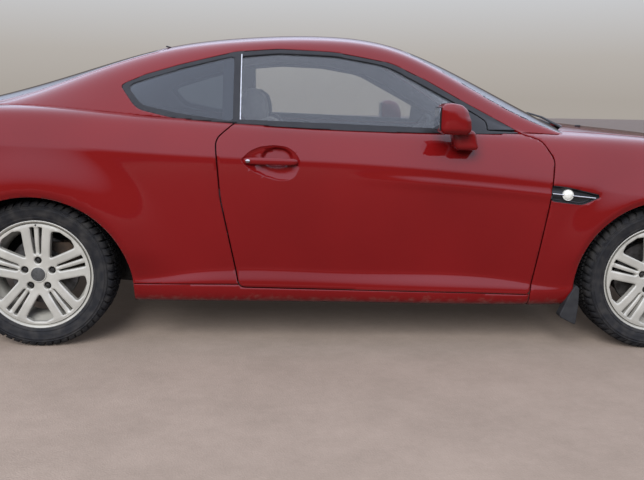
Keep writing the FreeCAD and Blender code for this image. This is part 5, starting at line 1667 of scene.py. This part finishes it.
print("materials of the bare CAD pieces")
iron = nodeMaterial("castIron", (0.05, 0.046, 0.042), 0.6, 0.5)
mottled(iron, (0.025, 0.023, 0.021), (0.10, 0.07, 0.05), 24.0, 7.0)
grained(iron, 300, 0.5, 0.0008)
engineMetal = nodeMaterial("engineMetal", (0.20, 0.20, 0.20), 0.5, 0.7)
mottled(engineMetal, (0.10, 0.10, 0.10), (0.30, 0.30, 0.295), 18.0, 6.0)
grained(engineMetal, 260, 0.6, 0.001)
pipeSteel = nodeMaterial("pipeSteel", (0.22, 0.19, 0.16), 0.45, 0.85)
mottled(pipeSteel, (0.12, 0.09, 0.07), (0.34, 0.31, 0.28), 12.0, 6.0)
looks = {
    "floor_pan": underside, "front_subframe": iron, "rear_suspension": iron, "front_knuckle_left": iron,
    "front_knuckle_right": iron, "engine_block": engineMetal, "exhaust": pipeSteel, "front_wheelhouses": liner,
    "rear_wheelhouses": liner, "cowl_and_bulkhead": blackPlastic, "grille": blackPlastic,
}
for node, look in looks.items():
    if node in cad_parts:
        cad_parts[node].data.materials.clear()
        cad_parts[node].data.materials.append(look)

print("stage, lights and camera")
cameraFacts = {"x": -255.4, "y": -3927.9, "z": 1026.3, "pitch": 10.48, "yaw": 2.69, "roll": -0.0181, "focal": 780.0}


def makeCamera():
    pitch, yaw = math.radians(cameraFacts["pitch"]), math.radians(cameraFacts["yaw"])
    c, s = math.cos(cameraFacts["roll"]), math.sin(cameraFacts["roll"])
    ahead = Vector((math.sin(yaw) * math.cos(pitch), math.cos(yaw) * math.cos(pitch), -math.sin(pitch)))
    right = Vector((math.cos(yaw), -math.sin(yaw), 0))
    down = ahead.cross(right)
    across, below = right * c + down * s, down * c - right * s
    lens = bpy.data.cameras.new("camera")
    lens.sensor_width, lens.lens = 36, 36 * cameraFacts["focal"] / 644
    lens.clip_end = 100
    camera = bpy.data.objects.new("camera", lens)
    bpy.context.scene.collection.objects.link(camera)
    turn = Matrix((across, -below, -ahead)).transposed().to_4x4()
    camera.matrix_world = Matrix.Translation(Vector([cameraFacts[k] * mm for k in "xyz"])) @ turn
    bpy.context.scene.camera = camera


stageLook = {
    "size": 40.0, "bounce": (0.30, 0.27, 0.25), "mirrored": (0.115, 0.095, 0.09), "glow": (0.026, 0.021, 0.018),
    "road": (0.315, 0.255, 0.214), "roadShade": (0.258, 0.209, 0.174), "skyShare": 0.5,
    "sky": [(0.0, (0.12, 0.10, 0.09)), (0.10, (0.13, 0.11, 0.10)), (0.19, (0.66, 0.72, 0.90)),
            (0.32, (1.15, 1.24, 1.55)), (1.0, (1.20, 1.30, 1.60))],
    "backdrop": [(0.0, (0.40, 0.365, 0.33)), (0.05, (0.46, 0.43, 0.40)), (0.20, (0.72, 0.77, 0.84))],
    "lamps": [("key", (-4, -14, 9), 9.0, 3900), ("fill", (6, 12, 8), 8.0, 700)],  # name, place, size and watts
}


def colourBand(nodes, table):
    ramp = nodes.new("ShaderNodeValToRGB")
    stops = ramp.color_ramp.elements
    while len(stops) < len(table):
        stops.new(0.5)
    for stop, (place, colour) in zip(stops, table):
        stop.position, stop.color = place, (*colour, 1)
    return ramp


def makeStage():
    # road that is darker in reflections, a sky that the camera sees as a pale backdrop, and two lamps
    size = stageLook["size"]
    corners = np.array([(-size, -size, 0), (size, -size, 0), (size, size, 0), (-size, size, 0)]) / mm
    road = nodeMaterial("road", stageLook["road"], 0.95)
    nodes, links = road.node_tree.nodes, road.node_tree.links
    nodes["Principled BSDF"].inputs["Specular IOR Level"].default_value = 0.1
    noise, ramp = mottled(road, stageLook["roadShade"], stageLook["road"], 2.0, 15.0, 0.40, 0.60)[1:]
    noise.inputs["Roughness"].default_value = 0.88
    grained(road, 160.0, 0.45, 0.004, 4.0)
    path = nodes.new("ShaderNodeLightPath")
    dim, plain = nodes.new("ShaderNodeMix"), nodes.new("ShaderNodeMix")
    for mix in (dim, plain):
        mix.data_type = "RGBA"
    dim.inputs[6].default_value, dim.inputs[7].default_value = (*stageLook["bounce"], 1), (*stageLook["mirrored"],
                                                                                           1)
    links.new(path.outputs["Is Glossy Ray"], dim.inputs[0])
    links.new(path.outputs["Is Camera Ray"], plain.inputs[0])
    links.new(dim.outputs[2], plain.inputs[6])
    links.new(ramp.outputs["Color"], plain.inputs[7])
    links.new(plain.outputs[2], nodes["Principled BSDF"].inputs["Base Color"])
    nodes["Principled BSDF"].inputs["Emission Color"].default_value = (*stageLook["glow"], 1)
    links.new(path.outputs["Is Camera Ray"], nodes["Principled BSDF"].inputs["Emission Strength"])
    floor = addObject("floor", makeMesh("floor", corners, np.zeros((0, 3), int), np.array([[0, 1, 2, 3]])), road)
    world = bpy.data.worlds.new("studio")
    bpy.context.scene.world = world
    world.use_nodes = True
    nodes, links = world.node_tree.nodes, world.node_tree.links
    place, split, path, pick = (nodes.new("ShaderNode" + kind) for kind in ("TexCoord", "SeparateXYZ", "LightPath",
                                                                            "Mix"))
    sky, back = colourBand(nodes, stageLook["sky"]), colourBand(nodes, stageLook["backdrop"])
    pick.data_type = "RGBA"
    links.new(place.outputs["Generated"], split.inputs["Vector"])
    for ramp in (sky, back):
        links.new(split.outputs["Z"], ramp.inputs["Fac"])
    links.new(path.outputs["Is Camera Ray"], pick.inputs[0])
    links.new(sky.outputs["Color"], pick.inputs[6])
    links.new(back.outputs["Color"], pick.inputs[7])
    links.new(pick.outputs[2], nodes["Background"].inputs["Color"])
    dull = mapRange(world, 0.0, 1.0, 1.0, stageLook["skyShare"])
    links.new(path.outputs["Is Diffuse Ray"], dull.inputs["Value"])
    links.new(dull.outputs["Result"], nodes["Background"].inputs["Strength"])
    for name, place, size, power in stageLook["lamps"]:
        light = bpy.data.lights.new(name, "AREA")
        light.size, light.energy = size, power
        lamp = bpy.data.objects.new(name, light)
        bpy.context.scene.collection.objects.link(lamp)
        lamp.location = place
        lamp.visible_glossy = False
        lamp.rotation_euler = (Vector((0, 0, 0.5)) - Vector(place)).to_track_quat("-Z", "Y").to_euler()


makeCamera()
makeStage()
bpy.context.scene.view_settings.view_transform = "Standard"
bpy.context.view_layer.update()
